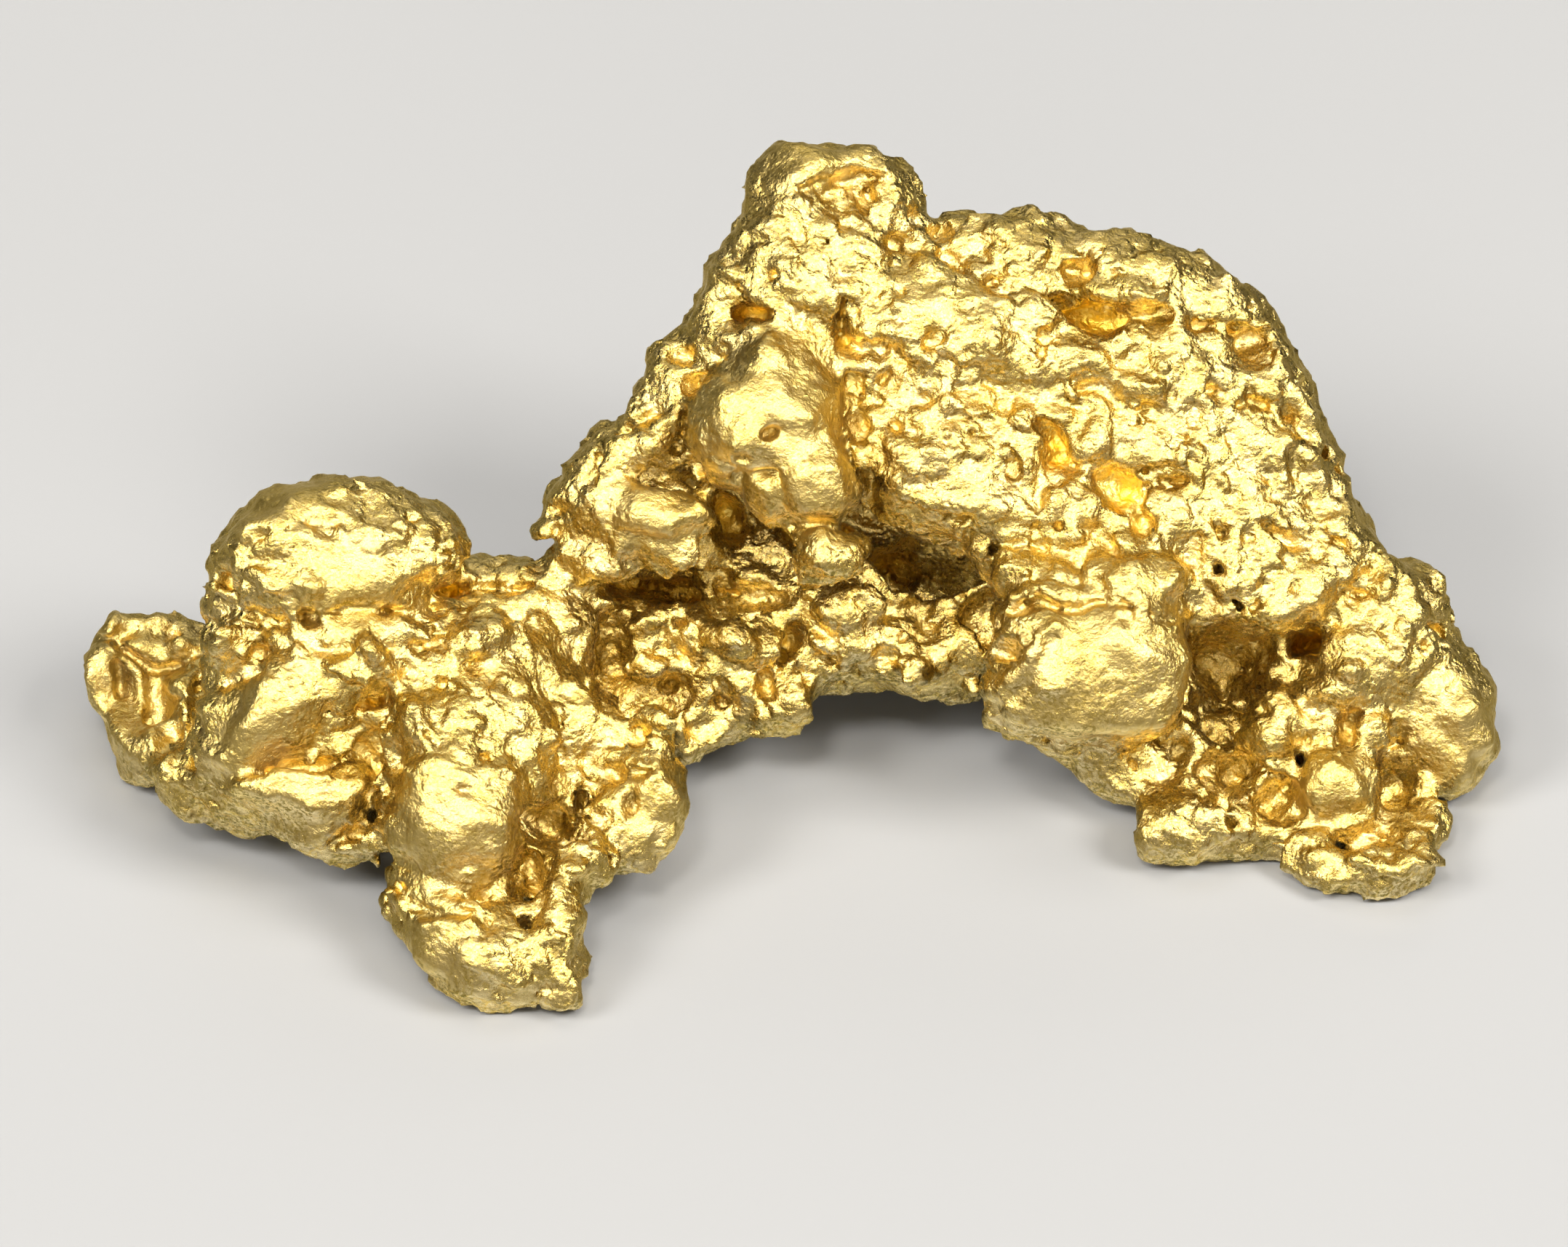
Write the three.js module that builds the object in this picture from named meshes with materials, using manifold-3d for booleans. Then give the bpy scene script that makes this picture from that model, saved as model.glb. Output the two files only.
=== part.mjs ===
// A gold nugget, 24 mm long: one natural piece of gold, with a high arched body, a lump on its left,
// and an open arch between the feet it stands on. Millimetres, +Z up, +X along the nugget, its face
// to -Y. Its lumps and hollows are rounded bodies that flow into each other, listed below; the skin
// round all of them is meshed as one closed solid, cut flat where the nugget touches the ground.

import * as THREE from "three";
import { mergeVertices } from "three/addons/utils/BufferGeometryUtils.js";
import Module from "manifold-3d";

// The nugget leans back. Its lumps are placed on a leaning board: across (to the right), up the
// board, and out of its face towards the front. The board leans back by LEAN from upright, and its
// origin is CLEARANCE above the ground.
const LEAN = THREE.MathUtils.degToRad(40);
const CLEARANCE = 3.12;

const CELL = 0.455; // size of a cell of the skin's mesh
const BOUNDS = new THREE.Box3(new THREE.Vector3(-13, -9.8, -2.6), new THREE.Vector3(13, 6, 10.5));
const GOLD = { color: 0xe8b64c, roughness: 0.32, metalness: 1 };

// Each lump or hollow: [across, up, out, half-length, half-height, half-depth, turn, blend], where
// turn is in degrees on the board and blend is the width over which it flows into its neighbours.
const PEAK = {
  knob: [0.65, 6.1, 0.1, 1.45, 1.25, 1.35, 0, 0.35],
  knobLeft: [0.15, 6.6, 0.2, 0.8, 0.8, 1.05, 0, 0.3],
  knobRight: [1.5, 6.5, 0.1, 0.75, 0.75, 0.9, 0, 0.25],
  knobBase: [0.15, 4.95, 0.25, 1.6, 1.3, 1.45, 0, 0.45],
  flank: [-0.65, 3.9, 0.25, 1.1, 1.2, 1.3, 0, 0.45],
  flankLow: [-1.55, 3.0, 0.2, 1.1, 1.05, 1.2, 0, 0.35],
  flankBump: [-1.95, 3.65, 0.25, 0.45, 0.4, 0.55, 0, 0.15],
  wing: [-2.9, 1.95, 0.3, 1.6, 0.65, 0.85, 40, 0.25],
  wingLow: [-2.45, 1.05, 0.9, 1.3, 0.75, 0.75, -12, 0.25],
  wingEdge: [-3.4, 0.4, 0.65, 0.55, 0.5, 0.5, 10, 0.2],
  centreTop: [-0.3, 3.65, 1.15, 0.95, 0.65, 1.0, 0, 0.2],
  centre: [-0.35, 2.55, 1.4, 1.25, 1.0, 1.1, 0, 0.25],
  centreLow: [0.35, 1.6, 1.45, 0.8, 0.75, 0.9, 0, 0.25],
  centreRim: [0.8, 2.45, 1.2, 0.35, 0.85, 0.65, 8, 0.2],
};

const RIDGE = {
  ridge1: [2.85, 5.5, -0.1, 0.75, 0.7, 1.0, 0, 0.25],
  ridge2: [4.0, 5.45, -0.1, 1.2, 0.8, 1.1, 0, 0.25],
  ridge3: [5.7, 5.0, -0.05, 1.6, 0.9, 1.15, -12, 0.3],
  ridge4: [7.05, 4.35, -0.1, 1.3, 0.95, 1.15, -42, 0.25],
  ridge5: [7.85, 3.1, -0.25, 0.95, 1.3, 1.1, 22, 0.25],
  ridge6: [8.5, 1.85, -0.25, 0.8, 1.35, 1.15, 15, 0.25],
  ridge7: [9.25, 0.6, -0.25, 0.7, 1.2, 1.1, 32, 0.25],
  rimTop: [10.3, -0.6, -0.25, 0.9, 1.0, 1.1, 10, 0.25],
  rimLow: [11.15, -2.25, -0.25, 0.8, 1.3, 1.1, 8, 0.25],
};

const FACE = {
  face1: [2.5, 4.05, 0.25, 2.35, 1.45, 1.55, 0, 0.5],
  face2: [5.1, 3.45, 0.05, 2.45, 1.85, 1.5, 0, 0.5],
  face3: [6.9, 2.1, 0.0, 1.7, 1.85, 1.35, 0, 0.5],
  face4: [2.75, 1.95, 0.6, 2.0, 1.3, 1.45, -10, 0.5],
  face5: [5.1, 1.05, 0.45, 2.35, 1.3, 1.45, -15, 0.45],
  face6: [8.0, 0.25, 0.1, 1.85, 1.05, 1.3, -20, 0.45],
  lip: [3.45, 0.25, 1.05, 1.45, 0.5, 0.75, -28, 0.2],
  nose: [5.0, -1.3, 1.4, 1.5, 1.35, 1.3, -8, 0.25],
  noseLeft: [4.1, -1.8, 1.1, 0.85, 0.6, 1.0, 15, 0.25],
  noseRight: [5.65, -0.6, 1.3, 1.0, 0.95, 1.05, 0, 0.25],
  noseLow: [4.7, -2.4, 0.5, 1.35, 0.5, 0.85, -8, 0.2],
};

const RIGHT_FOOT = {
  shoulder: [9.75, -1.3, 0.2, 1.1, 0.95, 1.05, 0, 0.25],
  shelf: [8.4, -2.35, 0.1, 1.15, 0.6, 0.9, -10, 0.2],
  ball: [6.45, -4.15, 1.05, 0.75, 0.6, 0.65, 0, 0.2],
  bar: [7.65, -4.2, 0.8, 1.0, 0.45, 0.55, 2, 0.2],
  tip: [9.6, -4.85, 1.45, 1.2, 0.5, 0.5, -3, 0.2],
  tipEnd: [10.45, -4.65, 1.3, 0.35, 0.6, 0.45, 0, 0.15],
  back: [7.55, -2.75, 0.0, 1.95, 0.9, 0.9, -8, 0.3],
  backRight: [10.0, -2.9, 0.1, 1.0, 0.95, 0.8, 0, 0.25],
  backRim: [11.0, -3.1, -0.2, 0.6, 0.6, 0.7, 20, 0.2],
  wall: [6.8, -1.45, -0.85, 1.35, 1.6, 1.0, 0, 0.35],
  wallRight: [10.0, -2.3, -0.5, 0.85, 1.0, 0.85, 0, 0.25],
  underRight: [8.65, -3.6, 0.5, 1.0, 0.6, 0.65, 0, 0.2],
  underLeft: [5.9, -3.3, 0.2, 0.65, 0.55, 0.6, -20, 0.2],
  underNose: [5.1, -3.0, 0.1, 0.75, 0.3, 0.55, -35, 0.15],
  underTip: [9.9, -4.2, 0.95, 1.0, 0.5, 0.5, 0, 0.2],
  ballTop: [6.95, -3.75, 0.65, 0.9, 0.5, 0.6, 0, 0.2],
  tipTop: [10.6, -4.0, 0.65, 0.55, 0.55, 0.5, 0, 0.2],
  tipLink: [8.6, -4.45, 1.1, 0.6, 0.4, 0.4, 0, 0.15],
};

const ARCH = {
  arch1: [1.15, -0.6, -0.6, 1.95, 1.25, 1.2, 0, 0.35],
  arch2: [-1.05, -1.1, -0.6, 1.6, 1.6, 1.2, 0, 0.35],
  arch3: [2.65, -1.0, -0.75, 1.35, 1.0, 1.2, 0, 0.35],
  wallLeft: [-1.9, 1.0, -0.75, 1.35, 1.1, 1.0, 0, 0.35],
  wallLow: [-2.4, -0.3, -0.75, 1.35, 1.0, 1.0, 0, 0.35],
  wallRight: [2.75, 0.0, -0.6, 1.1, 0.85, 1.0, 0, 0.35],
};

const LEFT_LUMP = {
  upper: [-7.65, 0.45, 1.55, 1.95, 1.3, 1.45, 5, 0.3],
  upperEdge: [-9.0, -0.55, 1.4, 0.75, 1.0, 1.1, -8, 0.25],
  upperRight: [-6.3, 0.65, 1.15, 0.95, 0.75, 0.9, -12, 0.2],
  upperTip: [-5.6, 0.85, 1.1, 0.3, 0.25, 0.3, -25, 0.1],
  neck: [-4.65, -0.5, 0.35, 1.2, 0.85, 1.0, 0, 0.3],
  neckTop: [-4.85, 0.0, -0.1, 1.0, 0.45, 0.75, 0, 0.2],
  neckLow: [-3.75, -2.45, 1.2, 1.1, 1.1, 1.1, 0, 0.25],
  neckBack: [-3.5, -1.2, 0.1, 1.2, 1.2, 1.1, 0, 0.3],
  middle: [-5.7, -1.45, 1.6, 1.95, 1.1, 1.3, -8, 0.3],
  cheek: [-7.85, -1.8, 2.25, 1.8, 0.75, 0.9, 33, 0.2],
  cheekEdge: [-9.1, -2.65, 1.85, 0.9, 1.1, 1.05, 0, 0.2],
  core: [-7.4, -3.2, 0.85, 1.45, 1.2, 1.2, 0, 0.35],
  coreTop: [-8.75, -1.1, 1.1, 1.1, 1.0, 1.1, 0, 0.3],
  jaw: [-7.9, -4.0, 2.15, 1.0, 0.55, 0.75, -15, 0.15],
  low: [-9.75, -3.4, 0.9, 1.1, 0.6, 0.9, -18, 0.25],
  lowRight: [-9.0, -3.8, 1.1, 0.75, 0.45, 0.75, 0, 0.2],
  far: [-11.25, -1.55, -1.3, 0.7, 1.05, 0.9, 5, 0.2],
  farTop: [-10.5, -1.1, -1.2, 0.75, 0.55, 0.75, 0, 0.2],
  farLow: [-10.95, -2.7, -0.75, 0.6, 0.7, 0.75, 35, 0.2],
  farLink: [-10.1, -2.45, -0.1, 0.95, 1.05, 1.05, 0, 0.25],
};

const TOE = {
  heel: [-5.5, -3.8, 3.1, 1.2, 1.45, 1.2, 0, 0.2],
  heelRight: [-4.8, -3.65, 2.95, 0.5, 0.75, 0.75, 0, 0.15],
  heelTop: [-5.4, -2.55, 2.45, 1.6, 0.95, 1.2, 0, 0.25],
  toe: [-5.1, -6.2, 3.6, 1.4, 0.85, 1.0, -28, 0.2],
  toeLeft: [-6.05, -5.2, 2.7, 0.8, 0.8, 0.85, -20, 0.2],
  toeRight: [-3.9, -6.0, 3.6, 0.55, 1.25, 0.85, 4, 0.2],
  toeRightTop: [-3.5, -4.65, 2.95, 0.55, 0.65, 0.65, 0, 0.15],
  toeBack: [-4.7, -4.3, 2.3, 1.15, 1.3, 1.0, 0, 0.25],
  toeFill: [-3.55, -3.8, 1.5, 0.75, 0.8, 0.75, 0, 0.2],
  knuckle: [-7.4, -4.4, 1.9, 0.75, 0.35, 0.6, -12, 0.15],
  calf: [-2.5, -3.75, 2.05, 0.8, 1.2, 0.85, -8, 0.2],
};

const REAR = {
  back1: [0.8, 0.75, -2.2, 2.1, 1.6, 1.3, 0, 0.5],
  back2: [4.45, 2.2, -1.35, 2.95, 2.2, 1.35, -15, 0.5],
  back3: [0.55, 4.3, -1.0, 1.45, 2.2, 1.05, 0, 0.5],
  back4: [-5.45, -1.2, -0.25, 2.1, 1.35, 1.35, 0, 0.5],
  back5: [8.5, -1.0, -1.1, 1.85, 1.7, 1.1, 0, 0.5],
  rearFoot: [1.8, 0.45, -3.65, 1.6, 1.3, 1.1, 0, 0.35],
  rearLeft: [-2.25, 1.0, -2.2, 1.7, 1.35, 1.1, 10, 0.4],
  rearRight: [5.8, 0.7, -2.3, 1.95, 1.45, 1.1, -10, 0.4],
  rearFar: [-8.15, -1.0, -0.35, 1.6, 1.1, 1.1, 0, 0.35],
  rearKnob: [0.3, 5.9, -1.1, 0.95, 0.8, 0.8, 0, 0.3],
  rearRidge: [5.4, 4.3, -1.6, 1.5, 0.9, 0.8, -12, 0.3],
  rearSide: [8.5, 1.0, -1.7, 0.9, 1.25, 0.8, 25, 0.3],
  rearRim: [10.6, -1.6, -1.4, 0.85, 1.0, 0.7, 10, 0.3],
  rearHip: [3.7, 1.0, -3.4, 1.1, 0.85, 0.8, -30, 0.3],
  rearNeck: [-3.9, -0.6, -1.3, 1.2, 0.9, 0.8, 10, 0.3],
  rearLump: [-7.4, 0.3, -0.2, 1.3, 0.9, 0.9, 8, 0.3],
  rearHeel: [-5.6, -2.7, 0.6, 1.2, 0.9, 0.9, -15, 0.3],
  rearCentre: [0.2, 2.4, -1.4, 1.7, 1.3, 1.1, 0, 0.4],
};

const HOLLOWS = {
  knobPit: [1.1, 6.5, 1.3, 0.55, 0.4, 0.6, 0, 0.1],
  knobPitLeft: [-0.05, 6.3, 1.4, 0.5, 0.25, 0.35, -15, 0.1],
  flankSlot: [-0.55, 4.5, 1.7, 0.5, 0.2, 1.0, 5, 0.1],
  ridgeGroove: [2.9, 5.5, 1.35, 0.9, 0.25, 0.75, -38, 0.1],
  ridgePit: [4.85, 5.25, 1.05, 0.45, 0.3, 0.55, 0, 0.1],
  ridgeHollow: [5.15, 4.45, 1.35, 0.9, 0.35, 1.0, -8, 0.1],
  rimHollow: [7.65, 4.15, 1.0, 0.6, 0.35, 0.6, -30, 0.15],
  faceCrack: [1.3, 3.2, 1.85, 0.5, 0.2, 1.3, 40, 0.1],
  centreSlot: [1.3, 1.85, 2.1, 0.3, 0.65, 1.35, 5, 0.15],
  cavern: [2.1, -0.05, 1.3, 1.45, 1.0, 1.45, -8, 0.2],
  cavernLeft: [-0.9, 0.3, 1.35, 1.35, 0.5, 1.35, 0, 0.15],
  cavernDeep: [-2.9, -1.1, 1.45, 0.5, 1.15, 1.35, -5, 0.15],
  cavernEdge: [-2.75, -0.1, 1.2, 0.6, 0.45, 0.85, 0, 0.15],
  centreGap: [-1.15, 1.3, 1.85, 0.3, 0.5, 1.1, 0, 0.1],
  wingDish: [-2.35, 1.35, 2.35, 0.8, 0.5, 0.9, -10, 0.15],
  archSlot: [-0.05, -1.1, 1.35, 0.2, 0.55, 0.85, -20, 0.1],
  facePit: [5.8, 1.35, 1.85, 0.7, 0.45, 0.75, -25, 0.15],
  facePitLeft: [4.7, 1.95, 1.8, 0.6, 0.25, 0.6, -40, 0.15],
  footCave: [7.4, -1.8, 1.35, 0.7, 1.3, 1.45, -12, 0.2],
  shoulderHole: [8.8, -0.9, 1.35, 0.4, 0.3, 0.85, 20, 0.1],
  rimNotch: [10.8, -0.6, 0.75, 0.4, 0.25, 0.55, -35, 0.1],
  footPocket: [10.3, -3.3, 1.1, 0.45, 0.7, 1.1, -10, 0.15],
  jawSlot: [-7.8, -2.95, 3.2, 1.1, 0.2, 0.75, 12, 0.1],
  toeGap: [-4.2, -4.6, 4.1, 0.4, 0.95, 1.1, -3, 0.1],
  upperChannel: [-5.45, -0.25, 2.35, 0.65, 0.2, 0.85, 10, 0.1],
  farSpoon: [-10.8, -1.8, -0.25, 0.4, 0.8, 0.75, 12, 0.15],
  farSpoonTop: [-10.55, -0.9, -0.35, 0.6, 0.3, 0.5, 0, 0.1],
  lumpSlot: [-9.8, -2.55, 1.45, 0.2, 0.6, 0.75, -12, 0.1],
  heelRecess: [-7.0, -3.75, 3.25, 0.3, 0.65, 1.0, 0, 0.1],
  rearPit1: [2.9, 2.6, -2.9, 0.8, 0.5, 0.7, 30, 0.15],
  rearPit2: [7.0, 2.9, -2.4, 0.6, 0.9, 0.6, -20, 0.15],
  rearPit3: [-0.9, 3.0, -2.2, 0.5, 0.8, 0.6, 10, 0.15],
  rearPit4: [-3.3, 0.7, -2.7, 0.5, 0.4, 0.6, 0, 0.15],
  rearPit5: [-6.9, -0.7, -1.7, 0.9, 0.3, 0.5, -10, 0.15],
  rearPit6: [7.7, -0.6, -3.2, 0.7, 0.5, 0.8, 15, 0.15],
  rearPit7: [-0.2, 0.0, -3.8, 0.6, 0.5, 0.8, -20, 0.15],
};

// Small lumps that stand in or over the hollows.
const PROUD = {
  nub: [0.6, 0.45, 1.55, 0.6, 0.5, 0.6, 0, 0.1],
  hook: [-4.15, 1.1, 0.25, 0.5, 0.25, 0.25, 58, 0.1],
  wingRim: [-1.8, 0.3, 1.15, 0.6, 0.25, 0.35, 25, 0.1],
  ledge: [-0.8, -1.05, 0.3, 1.05, 0.4, 0.6, -10, 0.15],
  ledgeRight: [0.8, -1.2, 0.1, 0.5, 0.4, 0.5, 0, 0.15],
  archRimLeft: [-1.8, -2.45, -0.1, 1.1, 0.6, 0.85, 10, 0.2],
  archRim: [-0.15, -2.05, 0.2, 0.6, 0.5, 0.6, 30, 0.15],
  archRimRight: [1.95, -1.6, 0.1, 0.6, 0.3, 0.5, 0, 0.15],
  stud: [-2.45, -2.55, 1.95, 0.8, 0.4, 0.5, 28, 0.1],
  jawLip: [-8.0, -3.5, 2.5, 1.15, 0.4, 0.6, -2, 0.1],
  footKnob: [9.4, -3.15, 0.45, 0.75, 0.75, 0.75, 0, 0.15],
  footPea: [8.25, -2.7, 0.35, 0.45, 0.4, 0.5, 0, 0.1],
};

const REGIONS = [PEAK, RIDGE, FACE, RIGHT_FOOT, ARCH, LEFT_LUMP, TOE, REAR];
const SOLID = REGIONS.flatMap(Object.values).map(bodyOf);
const CUTS = Object.values(HOLLOWS).map(bodyOf);
const ADDED = Object.values(PROUD).map(bodyOf);

function bodyOf([across, up, out, halfLength, halfHeight, halfDepth, turn, blend]) {
  const angle = THREE.MathUtils.degToRad(turn);
  return {
    centre: new THREE.Vector3(across, up, out),
    half: new THREE.Vector3(halfLength, halfHeight, halfDepth),
    cos: Math.cos(angle),
    sin: Math.sin(angle),
    blend,
  };
}

// How far a point on the board is outside a rounded body, negative inside it.
function distanceTo(body, point) {
  const dx = point.x - body.centre.x;
  const dy = point.y - body.centre.y;
  const x = (dx * body.cos + dy * body.sin) / body.half.x;
  const y = (dy * body.cos - dx * body.sin) / body.half.y;
  const z = (point.z - body.centre.z) / body.half.z;
  const reach = Math.hypot(x, y, z);
  const slope = Math.hypot(x / body.half.x, y / body.half.y, z / body.half.z);
  return (reach * (reach - 1)) / Math.max(slope, 1e-6);
}

// The smaller of two distances, rounded off where they are within width of each other.
function smoothMin(a, b, width) {
  const overlap = Math.max(width - Math.abs(a - b), 0) / width;
  return Math.min(a, b) - (overlap * overlap * width) / 4;
}

// How far a point of the part's frame is outside the nugget, before it is cut at the ground.
function nuggetField(x, y, z) {
  const height = z - CLEARANCE;
  const point = new THREE.Vector3(
    x,
    y * Math.sin(LEAN) + height * Math.cos(LEAN),
    height * Math.sin(LEAN) - y * Math.cos(LEAN),
  );
  let distance = 10;
  for (const body of SOLID) distance = smoothMin(distance, distanceTo(body, point), body.blend);
  for (const body of CUTS) distance = -smoothMin(-distance, distanceTo(body, point), body.blend);
  for (const body of ADDED) distance = smoothMin(distance, distanceTo(body, point), body.blend);
  return distance;
}

// The field sampled on a grid of nodes, CELL apart.
class Grid {
  constructor(bounds, cell) {
    const size = bounds.getSize(new THREE.Vector3());
    this.cell = cell;
    this.low = bounds.min;
    this.counts = size.toArray().map((length) => Math.ceil(length / cell) + 1);
    const [nx, ny, nz] = this.counts;
    this.steps = [1, nx, nx * ny];
    this.values = new Float64Array(nx * ny * nz);
    this.eachNode((i, j, k, node) => {
      this.values[node] = nuggetField(...this.place(i, j, k));
    });
  }

  place(i, j, k) {
    return [this.low.x + i * this.cell, this.low.y + j * this.cell, this.low.z + k * this.cell];
  }

  eachNode(visit, margin = 0) {
    const [nx, ny, nz] = this.counts;
    for (let k = margin; k < nz - margin; k++)
      for (let j = margin; j < ny - margin; j++)
        for (let i = margin; i < nx - margin; i++)
          visit(i, j, k, i + j * this.steps[1] + k * this.steps[2]);
  }

  // The node at one of the eight corners of the cell that starts at a node.
  corner(node, index) {
    return node + (index & 1) + ((index >> 1) & 1) * this.steps[1] + ((index >> 2) & 1) * this.steps[2];
  }

  // Marks the nodes that can be reached from a start through nodes on the same side of the surface.
  flood(start) {
    const reached = new Uint8Array(this.values.length);
    const inside = this.values[start] < 0;
    const queue = [start];
    reached[start] = 1;
    while (queue.length) {
      const node = queue.pop();
      for (const step of this.steps)
        for (const next of [node - step, node + step])
          if (!reached[next] && this.values[next] !== undefined && this.values[next] < 0 === inside) {
            reached[next] = 1;
            queue.push(next);
          }
    }
    return reached;
  }

  // Keeps the one piece that holds the deepest node, and fills the bubbles closed up inside it.
  keepOnePiece() {
    const deepest = this.values.indexOf(this.values.reduce((a, b) => Math.min(a, b)));
    const piece = this.flood(deepest);
    this.eachNode((i, j, k, node) => {
      if (this.values[node] < 0 && !piece[node]) this.values[node] = this.cell;
    });
    const open = this.flood(0);
    this.eachNode((i, j, k, node) => {
      if (this.values[node] >= 0 && !open[node]) this.values[node] = -this.cell / 4;
    });
  }

  // Fills nodes until no cell has two separate stretches of surface, so that the skin stays a proper
  // solid: two corners that are inside may not touch only across a face's or a cell's diagonal.
  fillPinches() {
    const faces = [];
    for (const [a, b] of [[1, 2], [1, 4], [2, 4]])
      for (const base of [0, 7 - a - b]) faces.push([base, base + a, base + b, base + a + b]);
    let filled = true;
    while (filled) {
      filled = false;
      this.eachNode((i, j, k, node) => {
        const inside = (index) => this.values[this.corner(node, index)] < 0;
        const fill = (index) => {
          this.values[this.corner(node, index)] = -this.cell / 8;
          filled = true;
        };
        for (const [a, b, c, d] of faces) {
          if (inside(a) && inside(d) && !inside(b) && !inside(c)) fill(b);
          if (inside(b) && inside(c) && !inside(a) && !inside(d)) fill(a);
        }
        const corners = [0, 1, 2, 3, 4, 5, 6, 7].filter(inside);
        const opposite = (list) => list.length === 2 && list[0] + list[1] === 7;
        const empty = [0, 1, 2, 3, 4, 5, 6, 7].filter((index) => !inside(index));
        if (opposite(corners)) fill(corners[0] ^ 1);
        if (opposite(empty)) fill(empty[0]);
      }, 1);
    }
  }
}

// Moves a point along the field's slope onto the surface, by no more than half a cell.
function settle(point, cell) {
  const start = point.clone();
  const step = cell / 20;
  for (let pass = 0; pass < 4; pass++) {
    const value = nuggetField(point.x, point.y, point.z);
    const slope = new THREE.Vector3(
      nuggetField(point.x + step, point.y, point.z) - nuggetField(point.x - step, point.y, point.z),
      nuggetField(point.x, point.y + step, point.z) - nuggetField(point.x, point.y - step, point.z),
      nuggetField(point.x, point.y, point.z + step) - nuggetField(point.x, point.y, point.z - step),
    ).divideScalar(2 * step);
    point.addScaledVector(slope, -value / Math.max(slope.lengthSq(), 0.25));
  }
  return point.sub(start).clampLength(0, cell / 2).add(start);
}

// The skin: one vertex in each cell that the surface passes through, and one four-sided patch, of two
// triangles, round each edge of the grid that it crosses.
function skinOf(grid) {
  const vertexOf = new Map();
  const points = [];
  const edges = [];
  for (let a = 0; a < 8; a++)
    for (const bit of [1, 2, 4]) if (!(a & bit)) edges.push([a, a | bit]);
  grid.eachNode((i, j, k, node) => {
    const sum = new THREE.Vector3();
    let crossings = 0;
    for (const [a, b] of edges) {
      const from = grid.values[grid.corner(node, a)];
      const to = grid.values[grid.corner(node, b)];
      if (from < 0 === to < 0) continue;
      const share = from / (from - to);
      sum.x += (a & 1) + ((b & 1) - (a & 1)) * share;
      sum.y += ((a >> 1) & 1) + (((b >> 1) & 1) - ((a >> 1) & 1)) * share;
      sum.z += (a >> 2) + ((b >> 2) - (a >> 2)) * share;
      crossings++;
    }
    if (!crossings) return;
    sum.divideScalar(crossings).multiplyScalar(grid.cell).add(new THREE.Vector3(...grid.place(i, j, k)));
    vertexOf.set(node, points.length);
    points.push(settle(sum, grid.cell));
  }, 1);

  const triangles = [];
  const addPatch = (ring) => {
    const [a, b, c, d] = ring.map((node) => vertexOf.get(node));
    if (points[a].distanceTo(points[c]) < points[b].distanceTo(points[d]))
      triangles.push(a, b, c, a, c, d);
    else triangles.push(b, c, d, b, d, a);
  };
  grid.eachNode((i, j, k, node) => {
    for (let axis = 0; axis < 3; axis++) {
      const inside = grid.values[node] < 0;
      if (inside === grid.values[node + grid.steps[axis]] < 0) continue;
      const side = grid.steps[(axis + 1) % 3];
      const other = grid.steps[(axis + 2) % 3];
      const ring = [node - side - other, node - other, node, node - side];
      addPatch(inside ? ring : ring.reverse());
    }
  }, 2);

  const geometry = new THREE.BufferGeometry().setFromPoints(points);
  geometry.setIndex(triangles);
  return geometry;
}

const wasm = await Module();
wasm.setup();

function solidOf(geometry) {
  const bare = geometry.clone();
  bare.deleteAttribute("normal");
  bare.deleteAttribute("uv");
  const merged = mergeVertices(bare);
  return new wasm.Manifold(
    new wasm.Mesh({
      numProp: 3,
      vertProperties: merged.attributes.position.array,
      triVerts: new Uint32Array(merged.index.array),
    }),
  );
}

function geometryOf(solid) {
  const mesh = solid.getMesh();
  const geometry = new THREE.BufferGeometry();
  geometry.setAttribute("position", new THREE.BufferAttribute(mesh.vertProperties, 3));
  geometry.setIndex(new THREE.BufferAttribute(mesh.triVerts, 1));
  geometry.computeVertexNormals();
  return geometry;
}

// The skin cut flat at the ground, which gives the feet the faces that they stand on.
function makeNugget() {
  const grid = new Grid(BOUNDS, CELL);
  grid.fillPinches();
  grid.keepOnePiece();
  const size = BOUNDS.getSize(new THREE.Vector3());
  const ground = new THREE.BoxGeometry(2 * size.x, 2 * size.y, size.z).translate(0, 0, -size.z / 2);
  const geometry = geometryOf(solidOf(skinOf(grid)).subtract(solidOf(ground)));
  const mesh = new THREE.Mesh(geometry, new THREE.MeshStandardMaterial(GOLD));
  mesh.name = "nugget";
  geometry.computeBoundingBox();
  const centre = geometry.boundingBox.getCenter(new THREE.Vector3());
  mesh.position.set(-centre.x, -centre.y, 0);
  return mesh;
}

const nugget = new THREE.Group();
nugget.add(makeNugget());

export default nugget;
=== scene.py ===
"""A gold nugget: the frame's plain solid, refined into pitted, water-worn native gold."""

import math

import bmesh
import bpy
import numpy as np
import openvdb
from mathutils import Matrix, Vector


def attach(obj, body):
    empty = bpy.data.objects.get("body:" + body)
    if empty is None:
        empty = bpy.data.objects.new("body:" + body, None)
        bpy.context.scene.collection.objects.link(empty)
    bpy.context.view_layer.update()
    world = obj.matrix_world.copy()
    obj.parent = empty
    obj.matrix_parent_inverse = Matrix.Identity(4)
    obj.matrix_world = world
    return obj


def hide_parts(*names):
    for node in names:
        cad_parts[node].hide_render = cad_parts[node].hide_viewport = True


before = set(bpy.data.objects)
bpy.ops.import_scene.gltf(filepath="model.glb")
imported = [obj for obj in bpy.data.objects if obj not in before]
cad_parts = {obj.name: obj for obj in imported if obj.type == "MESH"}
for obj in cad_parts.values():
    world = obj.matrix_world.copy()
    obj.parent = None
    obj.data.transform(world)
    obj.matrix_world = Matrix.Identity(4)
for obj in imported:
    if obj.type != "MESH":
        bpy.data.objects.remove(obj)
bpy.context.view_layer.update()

MM = 0.001
CELL = 0.08  # mm between the samples of the skin's field
MARGIN = 0.5  # mm of room round the nugget in the field
BAND = 12  # samples each side of the skin that know their distance to it
TRIANGLES = 190_000

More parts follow.
